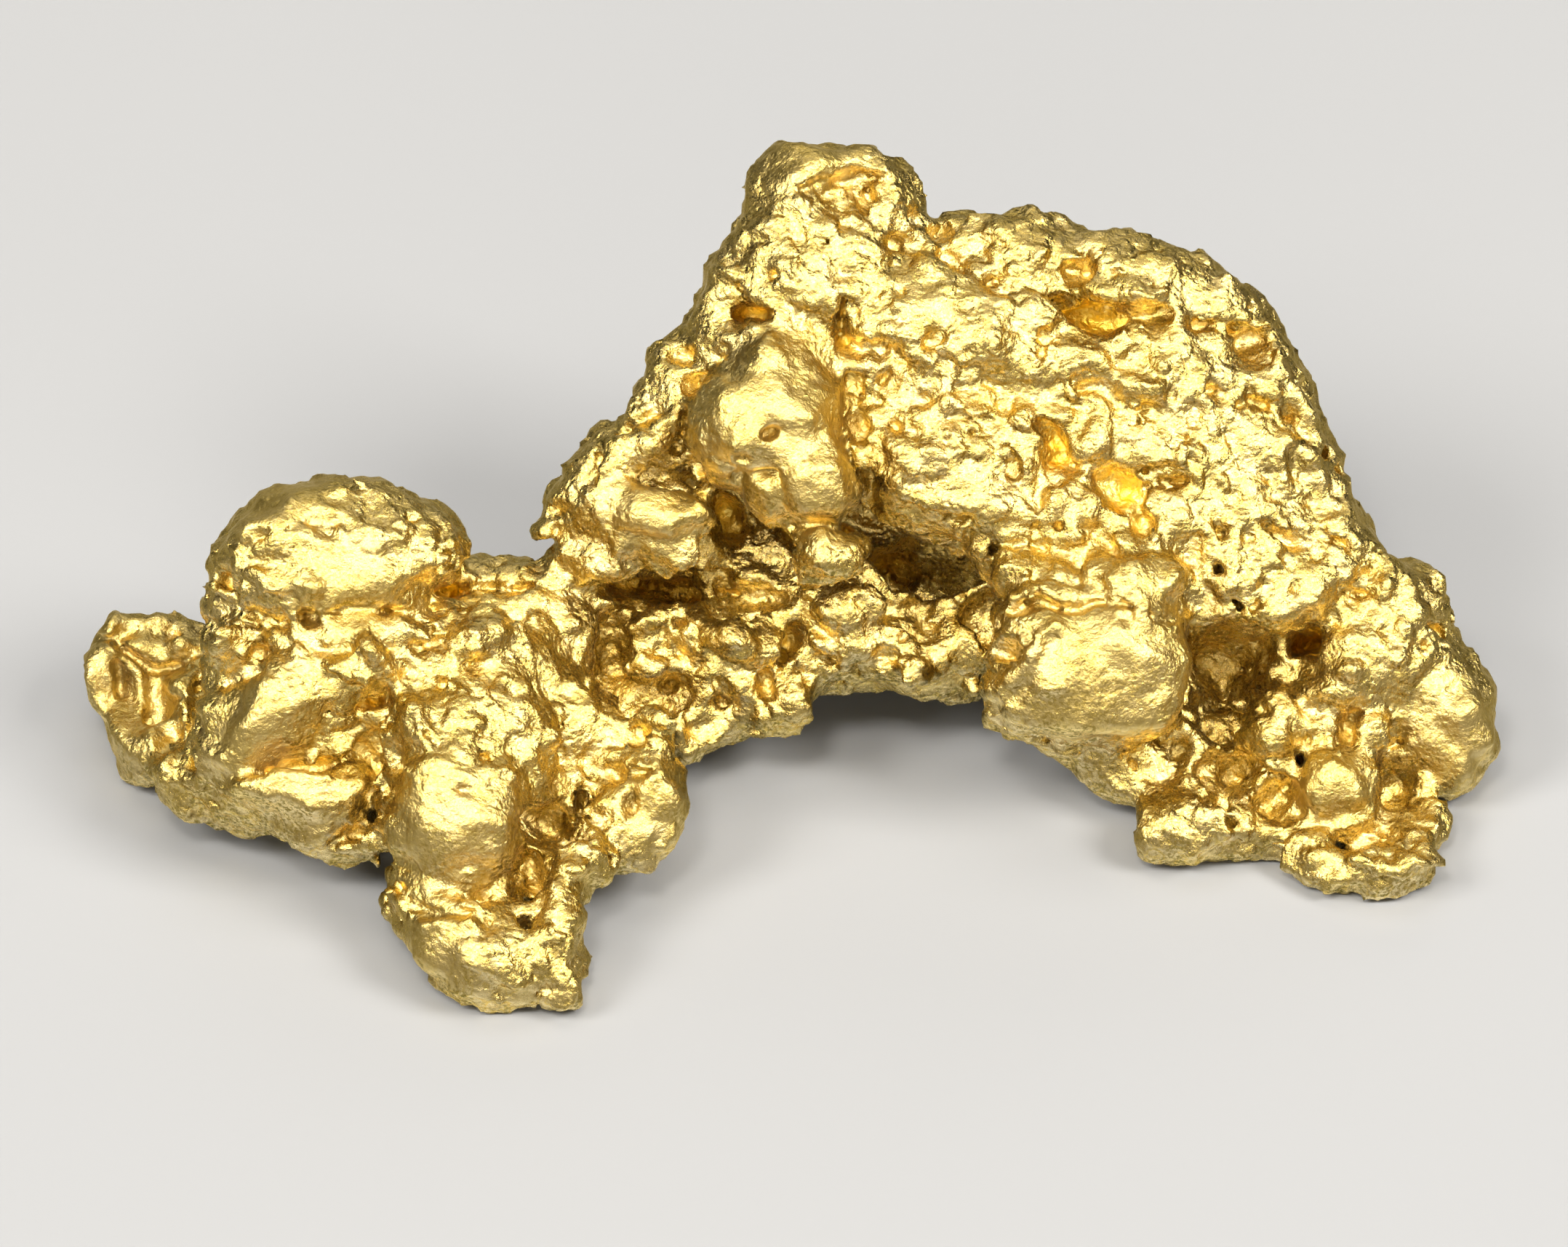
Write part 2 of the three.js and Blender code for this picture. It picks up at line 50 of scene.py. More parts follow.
# The nugget's lumps lie on a board that leans back. A place on it is across (+X), up the board and
# out of the nugget's face, in mm from the board's origin.
LEAN = math.radians(40)
BOARD_ORIGIN = np.array([-0.004, 1.158, 3.12])


# ---------------------------------------------------------------- noise

JITTER = 0.9  # how far the scattered seeds stray over their cells


def lattice(ix, iy, iz, seed):
    """A random number from 0 to 1 for each whole-number place."""
    h = ix.astype(np.uint32) * np.uint32(73856093)
    h ^= iy.astype(np.uint32) * np.uint32(19349663)
    h ^= iz.astype(np.uint32) * np.uint32(83492791)
    h ^= np.uint32((seed * 2654435761) % 2**32)
    h ^= h >> np.uint32(15)
    h *= np.uint32(0x2C1B3C6D)
    h ^= h >> np.uint32(12)
    h *= np.uint32(0x297A2D39)
    h ^= h >> np.uint32(15)
    return h.astype(np.float32) * np.float32(1 / 2**32)


def smooth_noise(points, size, seed):
    """Soft noise from about -1 to 1, with waves about size mm long."""
    p = points / size
    cell = np.floor(p)
    t = (p - cell).astype(np.float32)
    cell = cell.astype(np.int64)
    ease = t * t * t * (t * (t * 6 - 15) + 10)
    total = np.zeros(len(points), np.float32)
    for corner in range(8):
        step = [(corner >> axis) & 1 for axis in range(3)]
        ix, iy, iz = (cell[:, axis] + step[axis] for axis in range(3))
        turn = lattice(ix, iy, iz, seed) * (2 * math.pi)
        rise = lattice(ix, iy, iz, seed + 101) * 2 - 1
        flat = np.sqrt(1 - rise * rise)
        dx, dy, dz = (t[:, axis] - step[axis] for axis in range(3))
        slope = np.cos(turn) * flat * dx + np.sin(turn) * flat * dy + rise * dz
        weight = np.ones(len(points), np.float32)
        for axis in range(3):
            weight *= ease[:, axis] if step[axis] else 1 - ease[:, axis]
        total += weight * slope
    return total * 1.6


def warp(points, size, amount, seed):
    """Points pushed about by noise, so that what is built on them loses its regular shape."""
    shift = [smooth_noise(points, size, seed + axis) for axis in range(3)]
    return points + amount * np.stack(shift, 1)


def cells(points, size, seed, share=1.0):
    """Distances, in cells, to the nearest and second nearest of the seeds scattered size mm apart,
    and a random number for the nearest. Only a share of the cells hold a seed."""
    nowhere = 9.0
    p = points / size
    cell = np.floor(p)
    t = (p - cell).astype(np.float32)
    cell = cell.astype(np.int64)
    first = np.full(len(points), nowhere, np.float32)
    second = np.full(len(points), nowhere, np.float32)
    kind = np.zeros(len(points), np.float32)
    for sx in (-1, 0, 1):
        for sy in (-1, 0, 1):
            for sz in (-1, 0, 1):
                ix, iy, iz = cell[:, 0] + sx, cell[:, 1] + sy, cell[:, 2] + sz
                gap = np.zeros(len(points), np.float32)
                for axis, (whole, step) in enumerate(zip((ix, iy, iz), (sx, sy, sz))):
                    at = 0.5 + JITTER * (lattice(ix, iy, iz, seed + 7 * axis) - 0.5)
                    gap += (step + at - t[:, axis]) ** 2
                gap = np.sqrt(gap)
                label = lattice(ix, iy, iz, seed + 33)
                if share < 1:
                    gap = np.where(lattice(ix, iy, iz, seed + 57) < share, gap, nowhere)
                nearer = gap < first
                second = np.where(nearer, first, np.minimum(second, gap))
                kind = np.where(nearer, label, kind)
                first = np.where(nearer, gap, first)
    return first, second, kind


# ---------------------------------------------------------------- the skin's field

def smooth_min(a, b, width):
    overlap = np.maximum(width - np.abs(a - b), 0) / width
    return np.minimum(a, b) - overlap * overlap * width / 4


class Field:
    """Distance to the nugget's skin in mm, negative inside, sampled on a grid in the frame."""

    def __init__(self, node):
        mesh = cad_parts[node].data
        mesh.calc_loop_triangles()
        points = np.empty(len(mesh.vertices) * 3, np.float32)
        mesh.vertices.foreach_get("co", points)
        points = points.reshape(-1, 3) / MM
        triangles = np.empty(len(mesh.loop_triangles) * 3, np.int32)
        mesh.loop_triangles.foreach_get("vertices", triangles)
        points, triangles = weld(points, triangles.reshape(-1, 3))
        self.transform = openvdb.createLinearTransform(voxelSize=CELL)
        solid = openvdb.FloatGrid.createLevelSetFromPolygons(
            points, triangles=triangles, transform=self.transform, halfWidth=BAND)
        self.first = np.floor((points.min(0) - MARGIN) / CELL).astype(int)
        last = np.ceil((points.max(0) + MARGIN) / CELL).astype(int)
        self.values = np.full(last - self.first + 1, BAND * CELL, np.float32)
        solid.copyToArray(self.values, ijk=tuple(int(i) for i in self.first))

    def axes(self, where=None):
        """The frame's coordinates of the samples along each axis, or of those in a box of samples."""
        where = where or [slice(0, count) for count in self.values.shape]
        return [(self.first[a] + np.arange(where[a].start, where[a].stop)) * CELL for a in range(3)]

    def blur(self, reach, skip=1):
        """The field, or every skip-th sample of it along each axis, smoothed over about reach mm."""
        steps = max(1, round(reach / CELL / skip))
        out = self.values[::skip, ::skip, ::skip]
        for axis in range(3):
            for _ in range(steps):
                side = np.concatenate([np.take(out, [0], axis), out, np.take(out, [-1], axis)], axis)
                low, high = (np.take(side, range(s, s + out.shape[axis]), axis) for s in (0, 2))
                out = (low + 2 * out + high) / 4
        return out

    def body(self, place, half, turn, power=2):
        """The part of the field near a rounded body, and its distance to that body. A power above 2
        makes the body squarer."""
        centre = to_frame(place)
        reach = max(half) + 0.35
        where = []
        for axis in range(3):
            index = (centre[axis] + np.array([-reach, reach])) / CELL - self.first[axis]
            low, high = np.clip(np.round(index).astype(int), 0, self.values.shape[axis])
            where.append(slice(low, max(high, low)))
        where = tuple(where)
        x, y, z = self.axes(where)
        dy, dz = y - centre[1], z - centre[2]
        across = (x - centre[0])[:, None, None]
        up = (dy[:, None] * math.sin(LEAN) + dz[None, :] * math.cos(LEAN))[None]
        out = (dz[None, :] * math.sin(LEAN) - dy[:, None] * math.cos(LEAN))[None]
        cos, sin = math.cos(math.radians(turn)), math.sin(math.radians(turn))
        a = np.abs(across * cos + up * sin) / half[0]
        b = np.abs(up * cos - across * sin) / half[1]
        c = np.abs(out) / half[2]
        reach = np.maximum((a**power + b**power + c**power) ** (1 / power), 1e-6)
        slope = sum(((side / reach) ** (power - 1) / size) ** 2 for side, size in zip((a, b, c), half))
        return where, ((reach - 1) / np.sqrt(slope)).astype(np.float32)

    def add(self, place, half, turn, blend, power=2):
        where, distance = self.body(place, half, turn, power)
        self.values[where] = smooth_min(self.values[where], distance, blend)

    def cut(self, place, half, turn, blend):
        where, distance = self.body(place, half, turn)
        self.values[where] = -smooth_min(-self.values[where], distance, blend)

    def sample(self, points, values=None, skip=1):
        """The field, or another set of samples like it, at any points of the frame."""
        values = self.values if values is None else values
        p = np.clip((points / CELL - self.first) / skip, 0, np.array(values.shape) - 1.001)
        cell = np.floor(p).astype(int)
        t = p - cell
        total = np.zeros(len(points))
        for corner in range(8):
            step = np.array([(corner >> axis) & 1 for axis in range(3)])
            weight = np.prod(np.where(step == 1, t, 1 - t), axis=1)
            total += weight * values[tuple((cell + step).T)]
        return total

    def face_at(self, across, up):
        """How far out of the board the skin lies at a place on it, seen from the front."""
        out = np.arange(6.5, -5.5, -CELL / 2)
        line = to_frame(np.stack([np.full_like(out, across), np.full_like(out, up), out], 1))
        inside = np.nonzero(self.sample(line) < 0)[0]
        return out[inside[0]] if len(inside) else None

    def near(self, width):
        """The samples within width mm of the skin: where they are in the grid, and in the frame."""
        index = np.nonzero(np.abs(self.values) < width)
        points = np.stack([(self.first[a] + index[a]) * CELL for a in range(3)], 1)
        return index, points.astype(np.float32)


def weld(points, triangles):
    """Joins the vertices that share a place."""
    _, keep, joined = np.unique(np.round(points, 4), axis=0, return_index=True, return_inverse=True)
    triangles = joined.reshape(-1)[triangles]
    whole = (triangles[:, 0] != triangles[:, 1]) & (triangles[:, 1] != triangles[:, 2])
    whole &= triangles[:, 2] != triangles[:, 0]
    return points[keep].astype(np.float32), triangles[whole].astype(np.int32)


def to_frame(place):
    """A place on the board (across, up, out), in the frame, in mm."""
    place = np.asarray(place, float)
    across, up, out = place[..., 0], place[..., 1], place[..., 2]
    y = up * math.sin(LEAN) - out * math.cos(LEAN)
    z = up * math.cos(LEAN) + out * math.sin(LEAN)
    return np.stack([across, y, z], -1) + BOARD_ORIGIN


def to_board(points):
    """Places in the frame, on the board."""
    x, y, z = (points - BOARD_ORIGIN).T
    up = y * math.sin(LEAN) + z * math.cos(LEAN)
    return np.stack([x, up, z * math.sin(LEAN) - y * math.cos(LEAN)], 1)


# ---------------------------------------------------------------- the skin's features

# How wide a fillet each kind of feature leaves where it meets the skin, in mm.
BLEND = {"mass": 0.16, "block": 0.2, "cavern": 0.12, "lump": 0.1, "pit": 0.05}
SUNK = 0.15  # how far under the skin a bowl's middle lies, as a share of its depth

# The features of the front, from the biggest to the finest, placed on the board. A bowl or lump is
# (across, up, half-length, half-height, depth or height, turn), with its turn counterclockwise from
# across, in degrees. A furrow or fold is (half-width, depth or height, the places that it joins).

MASSES = [
    # the upper-left lump, its front wall, and the cheek, the jaw and the neck below it
    (-7.2, -0.9, 2.1, 0.5, 0.3, 0), (-8.45, 0.75, 1.0, 0.6, 0.12, 25), (-6.6, 0.6, 1.1, 0.75, 0.12, -10),
    (-8.5, -2.0, 1.5, 0.72, 0.35, 48), (-7.25, -1.45, 0.6, 0.5, 0.25, 0),
    (-8.1, -3.6, 1.1, 0.3, 0.25, -3), (-9.3, -1.1, 0.5, 0.35, 0.25, 0), (-5.3, -0.95, 0.9, 0.5, 0.2, 5),
    (-8.2, 0.1, 0.8, 0.35, 0.2, 5),
    # the centre's lobes, the nub and the wing
    (-0.4, 2.65, 1.3, 1.1, 0.2, 0), (0.45, 1.65, 0.62, 0.7, 0.35, 0), (0.62, 0.42, 0.66, 0.54, 0.5, 0),
    (-2.6, 2.0, 1.5, 0.5, 0.3, 42), (-2.15, 1.1, 0.85, 0.5, 0.4, 5), (-3.1, 0.35, 0.5, 0.35, 0.3, -10),
    (-0.4, 1.4, 0.38, 0.42, 0.5, 0), (-0.3, 0.45, 0.42, 0.55, 0.5, 0), (0.95, -0.5, 0.55, 0.45, 0.45, 0),
    # the brow, the nose and the lip above it
    (2.9, 1.25, 1.3, 0.4, 0.2, -18), (5.1, -1.35, 1.6, 0.95, 0.35, 0), (4.1, 0.1, 0.85, 0.45, 0.55, -8),
    (5.75, 0.05, 0.9, 0.45, 0.6, 0),
    # swells across the face
    (3.0, 2.9, 1.3, 0.42, 0.22, -5), (4.8, 2.4, 0.9, 0.4, 0.15, -25), (6.4, 2.0, 0.8, 0.4, 0.15, -30),
    (7.4, 1.2, 0.7, 0.35, 0.15, -20), (3.9, 4.5, 0.8, 0.35, 0.12, -15),
    # the right foot
    (9.1, -3.4, 0.55, 0.62, 0.45, 0), (9.2, -1.8, 0.65, 0.36, 0.3, 0), (8.25, -2.6, 0.42, 0.36, 0.35, 0),
    (8.35, -2.1, 0.26, 0.28, 0.3, 0), (9.85, -2.45, 0.3, 0.36, 0.3, 0), (6.8, -4.15, 0.6, 0.42, 0.3, 0),
    (8.4, -0.3, 0.9, 0.45, 0.2, 0), (10.0, -0.4, 0.5, 0.6, 0.2, 0), (10.4, -4.75, 0.5, 0.22, 0.25, 15),
]

# Squared-off bodies, and hollows behind an edge, that need their own place out of the board:
# (across, up, out, half-length, half-height, half-depth, turn).
BLOCKS = [
    # the upper-left lump's front, and the filling under the cheek
    (-7.75, 0.15, 1.95, 1.5, 0.8, 1.1, 0), (-9.3, 0.0, 1.5, 0.42, 0.75, 0.75, 0),
    (-7.5, -2.65, 2.05, 0.85, 0.5, 0.55, 8),
    # the nose, the face's edge over the foot's cave, and the back of the foot's hole
    (5.0, -1.3, 1.5, 1.62, 1.3, 1.3, -3), (7.6, -0.25, 0.75, 1.0, 0.5, 0.62, 0),
    (10.2, -3.65, -0.35, 0.6, 0.5, 0.4, 0),
    # the back of the cavern under the brow, and the wing's tip
    (3.0, -0.2, -1.9, 0.9, 0.7, 0.7, 0), (-4.0, 1.05, 0.45, 0.45, 0.14, 0.25, 48),
]

UNDERCUTS = [
    # under the brow, the wing, the ridge's lip and the face's edge over the foot's cave
    (2.2, 0.35, -0.45, 1.2, 0.65, 0.9, -14), (-2.2, -0.05, 0.0, 1.2, 0.42, 0.8, 0),
    (5.15, 4.5, 0.8, 0.8, 0.24, 0.35, -4), (7.4, -1.35, 0.0, 0.78, 0.62, 0.85, 0),
    (7.3, -2.3, 0.0, 0.6, 0.6, 0.5, 0), (8.75, -1.05, 0.1, 0.42, 0.3, 0.7, 25),
    # beside and under the nose, in the toe's recess, and between the wing's tip and the neck
    (7.1, -1.6, 0.9, 0.42, 0.85, 0.8, 0), (4.95, -2.85, 1.6, 1.5, 0.24, 0.9, -5),
    (-4.1, -4.0, 2.4, 0.5, 0.33, 0.6, 0), (-4.15, 0.5, 0.4, 0.27, 0.15, 1.2, 35),
]

CAVERNS = [
    # right of the centre, under the brow
    (2.35, -0.05, 1.2, 0.85, 1.0, -8), (1.75, 0.1, 0.5, 0.4, 0.6, 0), (1.35, 1.5, 0.26, 0.55, 0.9, 8),
    (3.25, -0.6, 0.33, 0.6, 0.5, 0),
    # left of the centre, under the wing
    (-1.05, 1.1, 0.3, 0.45, 0.9, 15), (-2.2, -0.05, 1.1, 0.3, 0.7, -4), (-0.75, -0.3, 0.7, 0.3, 0.6, 2),
    (-2.95, -1.3, 0.42, 0.85, 0.8, -5), (-2.4, -2.0, 0.85, 0.55, 0.7, 15),
    (-1.35, -2.3, 0.5, 0.38, 0.35, 10), (-0.05, -1.1, 0.13, 0.42, 0.7, -25),
    (-0.38, -1.75, 0.18, 0.38, 0.4, 5),
    # the foot's cave and the nose's left side
    (7.2, -1.5, 0.58, 0.72, 0.8, 0), (7.85, -1.2, 0.4, 0.28, 0.45, 0), (7.2, -2.45, 0.5, 0.45, 0.5, 0),
    (3.65, -1.15, 0.28, 0.28, 0.5, 0),
    # the ridge
    (5.15, 4.42, 0.85, 0.3, 0.5, -4), (4.5, 4.75, 0.25, 0.2, 0.5, -20), (6.2, 4.5, 0.28, 0.13, 0.3, 0),
    (4.85, 5.2, 0.25, 0.22, 0.45, 0), (7.65, 4.1, 0.35, 0.22, 0.4, -35), (6.95, 4.35, 0.38, 0.11, 0.3, 0),
    # the face
    (5.55, 1.55, 0.5, 0.28, 0.45, -30), (5.9, 1.0, 0.24, 0.34, 0.4, 0), (6.45, 1.65, 0.3, 0.14, 0.35, 15),
    (5.2, 0.75, 0.38, 0.18, 0.3, -40), (4.3, 2.45, 0.17, 0.25, 0.35, 30),
    (4.6, 2.05, 0.25, 0.17, 0.35, -20), (7.85, 3.0, 0.22, 0.17, 0.25, 0), (8.35, 2.9, 0.25, 0.2, 0.3, 0),
    (8.2, 0.75, 0.4, 0.17, 0.25, -20), (9.3, 0.7, 0.3, 0.09, 0.2, -35), (9.1, 0.3, 0.35, 0.08, 0.2, -20),
    (7.2, 0.2, 0.22, 0.17, 0.6, 0), (3.65, 1.9, 0.14, 0.28, 0.25, 0),
    # the peak
    (1.2, 6.7, 0.48, 0.2, 0.4, 0), (1.3, 6.4, 0.2, 0.18, 0.3, 0), (-0.55, 4.5, 0.52, 0.16, 0.9, 0),
    (2.55, 5.92, 0.22, 0.22, 0.45, 0), (1.35, 3.8, 0.48, 0.17, 0.45, 0), (2.45, 4.05, 0.22, 0.12, 0.3, 0),
    (1.12, 3.35, 0.2, 0.22, 0.4, 0), (1.22, 2.7, 0.2, 0.27, 0.45, 0), (1.05, 5.86, 0.28, 0.12, 0.22, 0),
    # the wing and the neck
    (-2.1, 1.78, 0.75, 0.26, 0.35, 3), (-1.78, 2.4, 0.13, 0.42, 0.7, -15),
    (-1.68, 3.35, 0.22, 0.2, 0.3, 10), (-1.72, 3.78, 0.15, 0.12, 0.25, 0),
    (-1.25, 3.75, 0.15, 0.14, 0.25, 0), (-4.0, 1.15, 0.3, 0.13, 0.2, 50),
    (-5.75, -0.2, 0.5, 0.18, 0.5, 12), (-4.8, -0.1, 0.7, 0.1, 0.45, 5),
    (-2.75, -0.42, 0.28, 0.28, 0.35, 0),
    # the left lump and the far-left lobe
    (-9.4, -0.02, 0.16, 0.2, 0.35, -10), (-10.5, -2.25, 0.36, 0.72, 0.65, 0),
    (-11.3, -1.6, 0.15, 0.35, 0.35, 0), (-11.2, -0.88, 0.22, 0.13, 0.3, 20),
    (-10.6, -0.85, 0.3, 0.15, 0.3, 0), (-9.75, -1.92, 0.25, 0.18, 0.4, -20),
    (-9.95, -2.95, 0.13, 0.25, 0.4, 15), (-7.1, -2.78, 0.45, 0.2, 0.35, 25),
    (-7.9, -3.02, 0.75, 0.13, 0.3, 5), (-8.6, -3.18, 0.35, 0.06, 0.3, 10),
    (-7.05, -3.75, 0.22, 0.52, 0.4, 0), (-7.4, -4.3, 0.42, 0.18, 0.3, 10),
    (-6.98, -1.98, 0.35, 0.12, 0.35, 5), (-7.62, -2.08, 0.18, 0.09, 0.4, 0),
    # the heel, the toe and the calf
    (-4.0, -4.0, 0.58, 0.4, 0.95, 0), (-4.3, -4.75, 0.32, 0.45, 0.65, 0),
    (-4.4, -5.7, 0.15, 0.5, 0.45, 3), (-6.5, -2.95, 0.22, 0.23, 0.3, 0),
    (-4.9, -2.86, 0.38, 0.09, 0.25, 0), (-3.45, -3.8, 0.14, 0.24, 0.45, 0),
    (-2.92, -3.22, 0.22, 0.2, 0.45, 0), (-2.6, -3.7, 0.14, 0.26, 0.3, 0),
    (-2.62, -2.62, 0.3, 0.18, 0.25, 25),
    # the right foot
    (8.8, -1.05, 0.36, 0.25, 0.55, 30), (10.2, -3.45, 0.38, 0.34, 0.45, 25),
    (10.28, -2.6, 0.26, 0.15, 0.35, 0), (9.37, -2.5, 0.15, 0.25, 0.35, 0),
    (10.05, -3.0, 0.28, 0.4, 0.4, 0), (9.75, -4.28, 0.6, 0.26, 0.6, 12),
    (10.2, -3.95, 0.33, 0.18, 0.35, 0), (10.87, -0.75, 0.22, 0.14, 0.35, -40),
    (8.15, -3.7, 0.4, 0.4, 0.6, 0), (7.35, -3.2, 0.6, 0.42, 0.65, 0), (7.25, -3.7, 0.22, 0.23, 0.35, 0),
    (8.1, -4.5, 0.42, 0.11, 0.25, 0),
]

LUMPS = [
    # the nub and the cavern's floor
    (1.28, 1.5, 0.12, 0.12, 0.2, 0), (0.6, -1.05, 0.35, 0.24, 0.22, 0), (1.15, -1.1, 0.2, 0.18, 0.15, 0),
    (2.1, -1.45, 0.3, 0.28, 0.35, 0), (3.05, -1.75, 0.2, 0.2, 0.2, 0), (-0.8, -1.8, 0.28, 0.38, 0.25, 0),
    (0.1, -1.85, 0.2, 0.35, 0.25, 0), (-0.85, -1.0, 0.52, 0.3, 0.35, -20),
    (-2.2, -0.65, 0.33, 0.26, 0.3, 0), (-2.4, -1.4, 0.38, 0.22, 0.3, -15),
    (-1.3, 0.05, 0.28, 0.18, 0.25, 0), (-0.35, -2.25, 0.3, 0.18, 0.2, 20),
    (1.9, -0.3, 0.26, 0.08, 0.18, 5),
    # the ridge and the face
    (5.1, 2.3, 0.4, 0.45, 0.22, 0), (6.2, 3.7, 0.24, 0.28, 0.18, 0), (5.85, 3.35, 0.38, 0.18, 0.15, 0),
    (7.05, 2.7, 0.18, 0.3, 0.18, 0), (7.7, 2.65, 0.24, 0.2, 0.15, 0), (8.2, 2.85, 0.13, 0.12, 0.15, 0),
    (8.25, 2.4, 0.2, 0.17, 0.15, 0), (7.43, 3.0, 0.12, 0.1, 0.12, 0), (6.9, 3.7, 0.2, 0.16, 0.12, 0),
    (7.2, 3.8, 0.1, 0.1, 0.1, 0), (7.3, 3.45, 0.07, 0.2, 0.1, 20), (7.53, 4.35, 0.13, 0.12, 0.18, 0),
    (6.6, 0.95, 0.3, 0.28, 0.15, 0), (3.25, 0.6, 0.3, 0.2, 0.12, 20), (7.45, 1.05, 0.3, 0.22, 0.12, 0),
    (5.6, 4.05, 0.5, 0.14, 0.12, 0), (3.9, 5.25, 0.3, 0.16, 0.12, 10), (4.9, 3.75, 0.3, 0.2, 0.12, -20),
    # the peak
    (-0.95, 5.2, 0.3, 0.16, 0.12, 0), (0.1, 5.3, 0.36, 0.22, 0.12, 0), (-0.9, 4.15, 0.35, 0.14, 0.14, 20),
    (1.9, 4.15, 0.4, 0.16, 0.14, 0), (0.2, 6.85, 0.28, 0.2, 0.12, 30), (-2.0, 3.85, 0.18, 0.14, 0.15, 0),
    # the left lump and the far-left lobe
    (-8.97, -0.68, 0.14, 0.1, 0.18, 0), (-9.3, -1.1, 0.35, 0.24, 0.2, 0),
    (-8.8, -1.12, 0.2, 0.16, 0.15, 0), (-9.4, -1.45, 0.28, 0.14, 0.15, 0),
    (-10.65, -0.9, 0.15, 0.12, 0.2, 0), (-10.3, -1.1, 0.24, 0.2, 0.25, 0),
    (-10.3, -1.85, 0.12, 0.1, 0.15, 0), (-10.4, -3.0, 0.15, 0.14, 0.2, 0),
    (-10.4, -3.3, 0.2, 0.18, 0.15, 0), (-7.45, -2.3, 0.28, 0.15, 0.2, 0), (-6.9, -2.2, 0.2, 0.1, 0.15, 0),
    (-7.3, -1.45, 0.33, 0.27, 0.15, 0), (-7.2, -4.5, 0.33, 0.14, 0.18, 10),
    # the heel, the toe and the calf
    (-4.85, -5.05, 0.2, 0.22, 0.15, 0), (-4.1, -5.3, 0.12, 0.1, 0.15, 0),
    (-3.87, -5.85, 0.09, 0.2, 0.12, 0), (-4.35, -5.5, 0.1, 0.1, 0.2, 0), (-3.6, -4.8, 0.28, 0.18, 0.2, 0),
    (-3.6, -3.3, 0.2, 0.14, 0.15, 0), (-3.15, -3.75, 0.2, 0.18, 0.15, 0),
    (-2.1, -2.4, 0.16, 0.13, 0.25, 0), (-2.2, -2.8, 0.12, 0.1, 0.2, 0), (-2.0, -3.6, 0.26, 0.3, 0.18, 0),
    (-4.4, -3.0, 0.26, 0.2, 0.12, 0),
    # the right foot
    (10.35, -4.6, 0.15, 0.18, 0.25, 0), (6.8, -4.0, 0.32, 0.36, 0.15, 0), (7.5, -4.4, 0.4, 0.14, 0.15, 0),
    (9.4, -1.45, 0.28, 0.23, 0.15, 0), (10.9, -1.7, 0.28, 0.24, 0.12, 0),
]

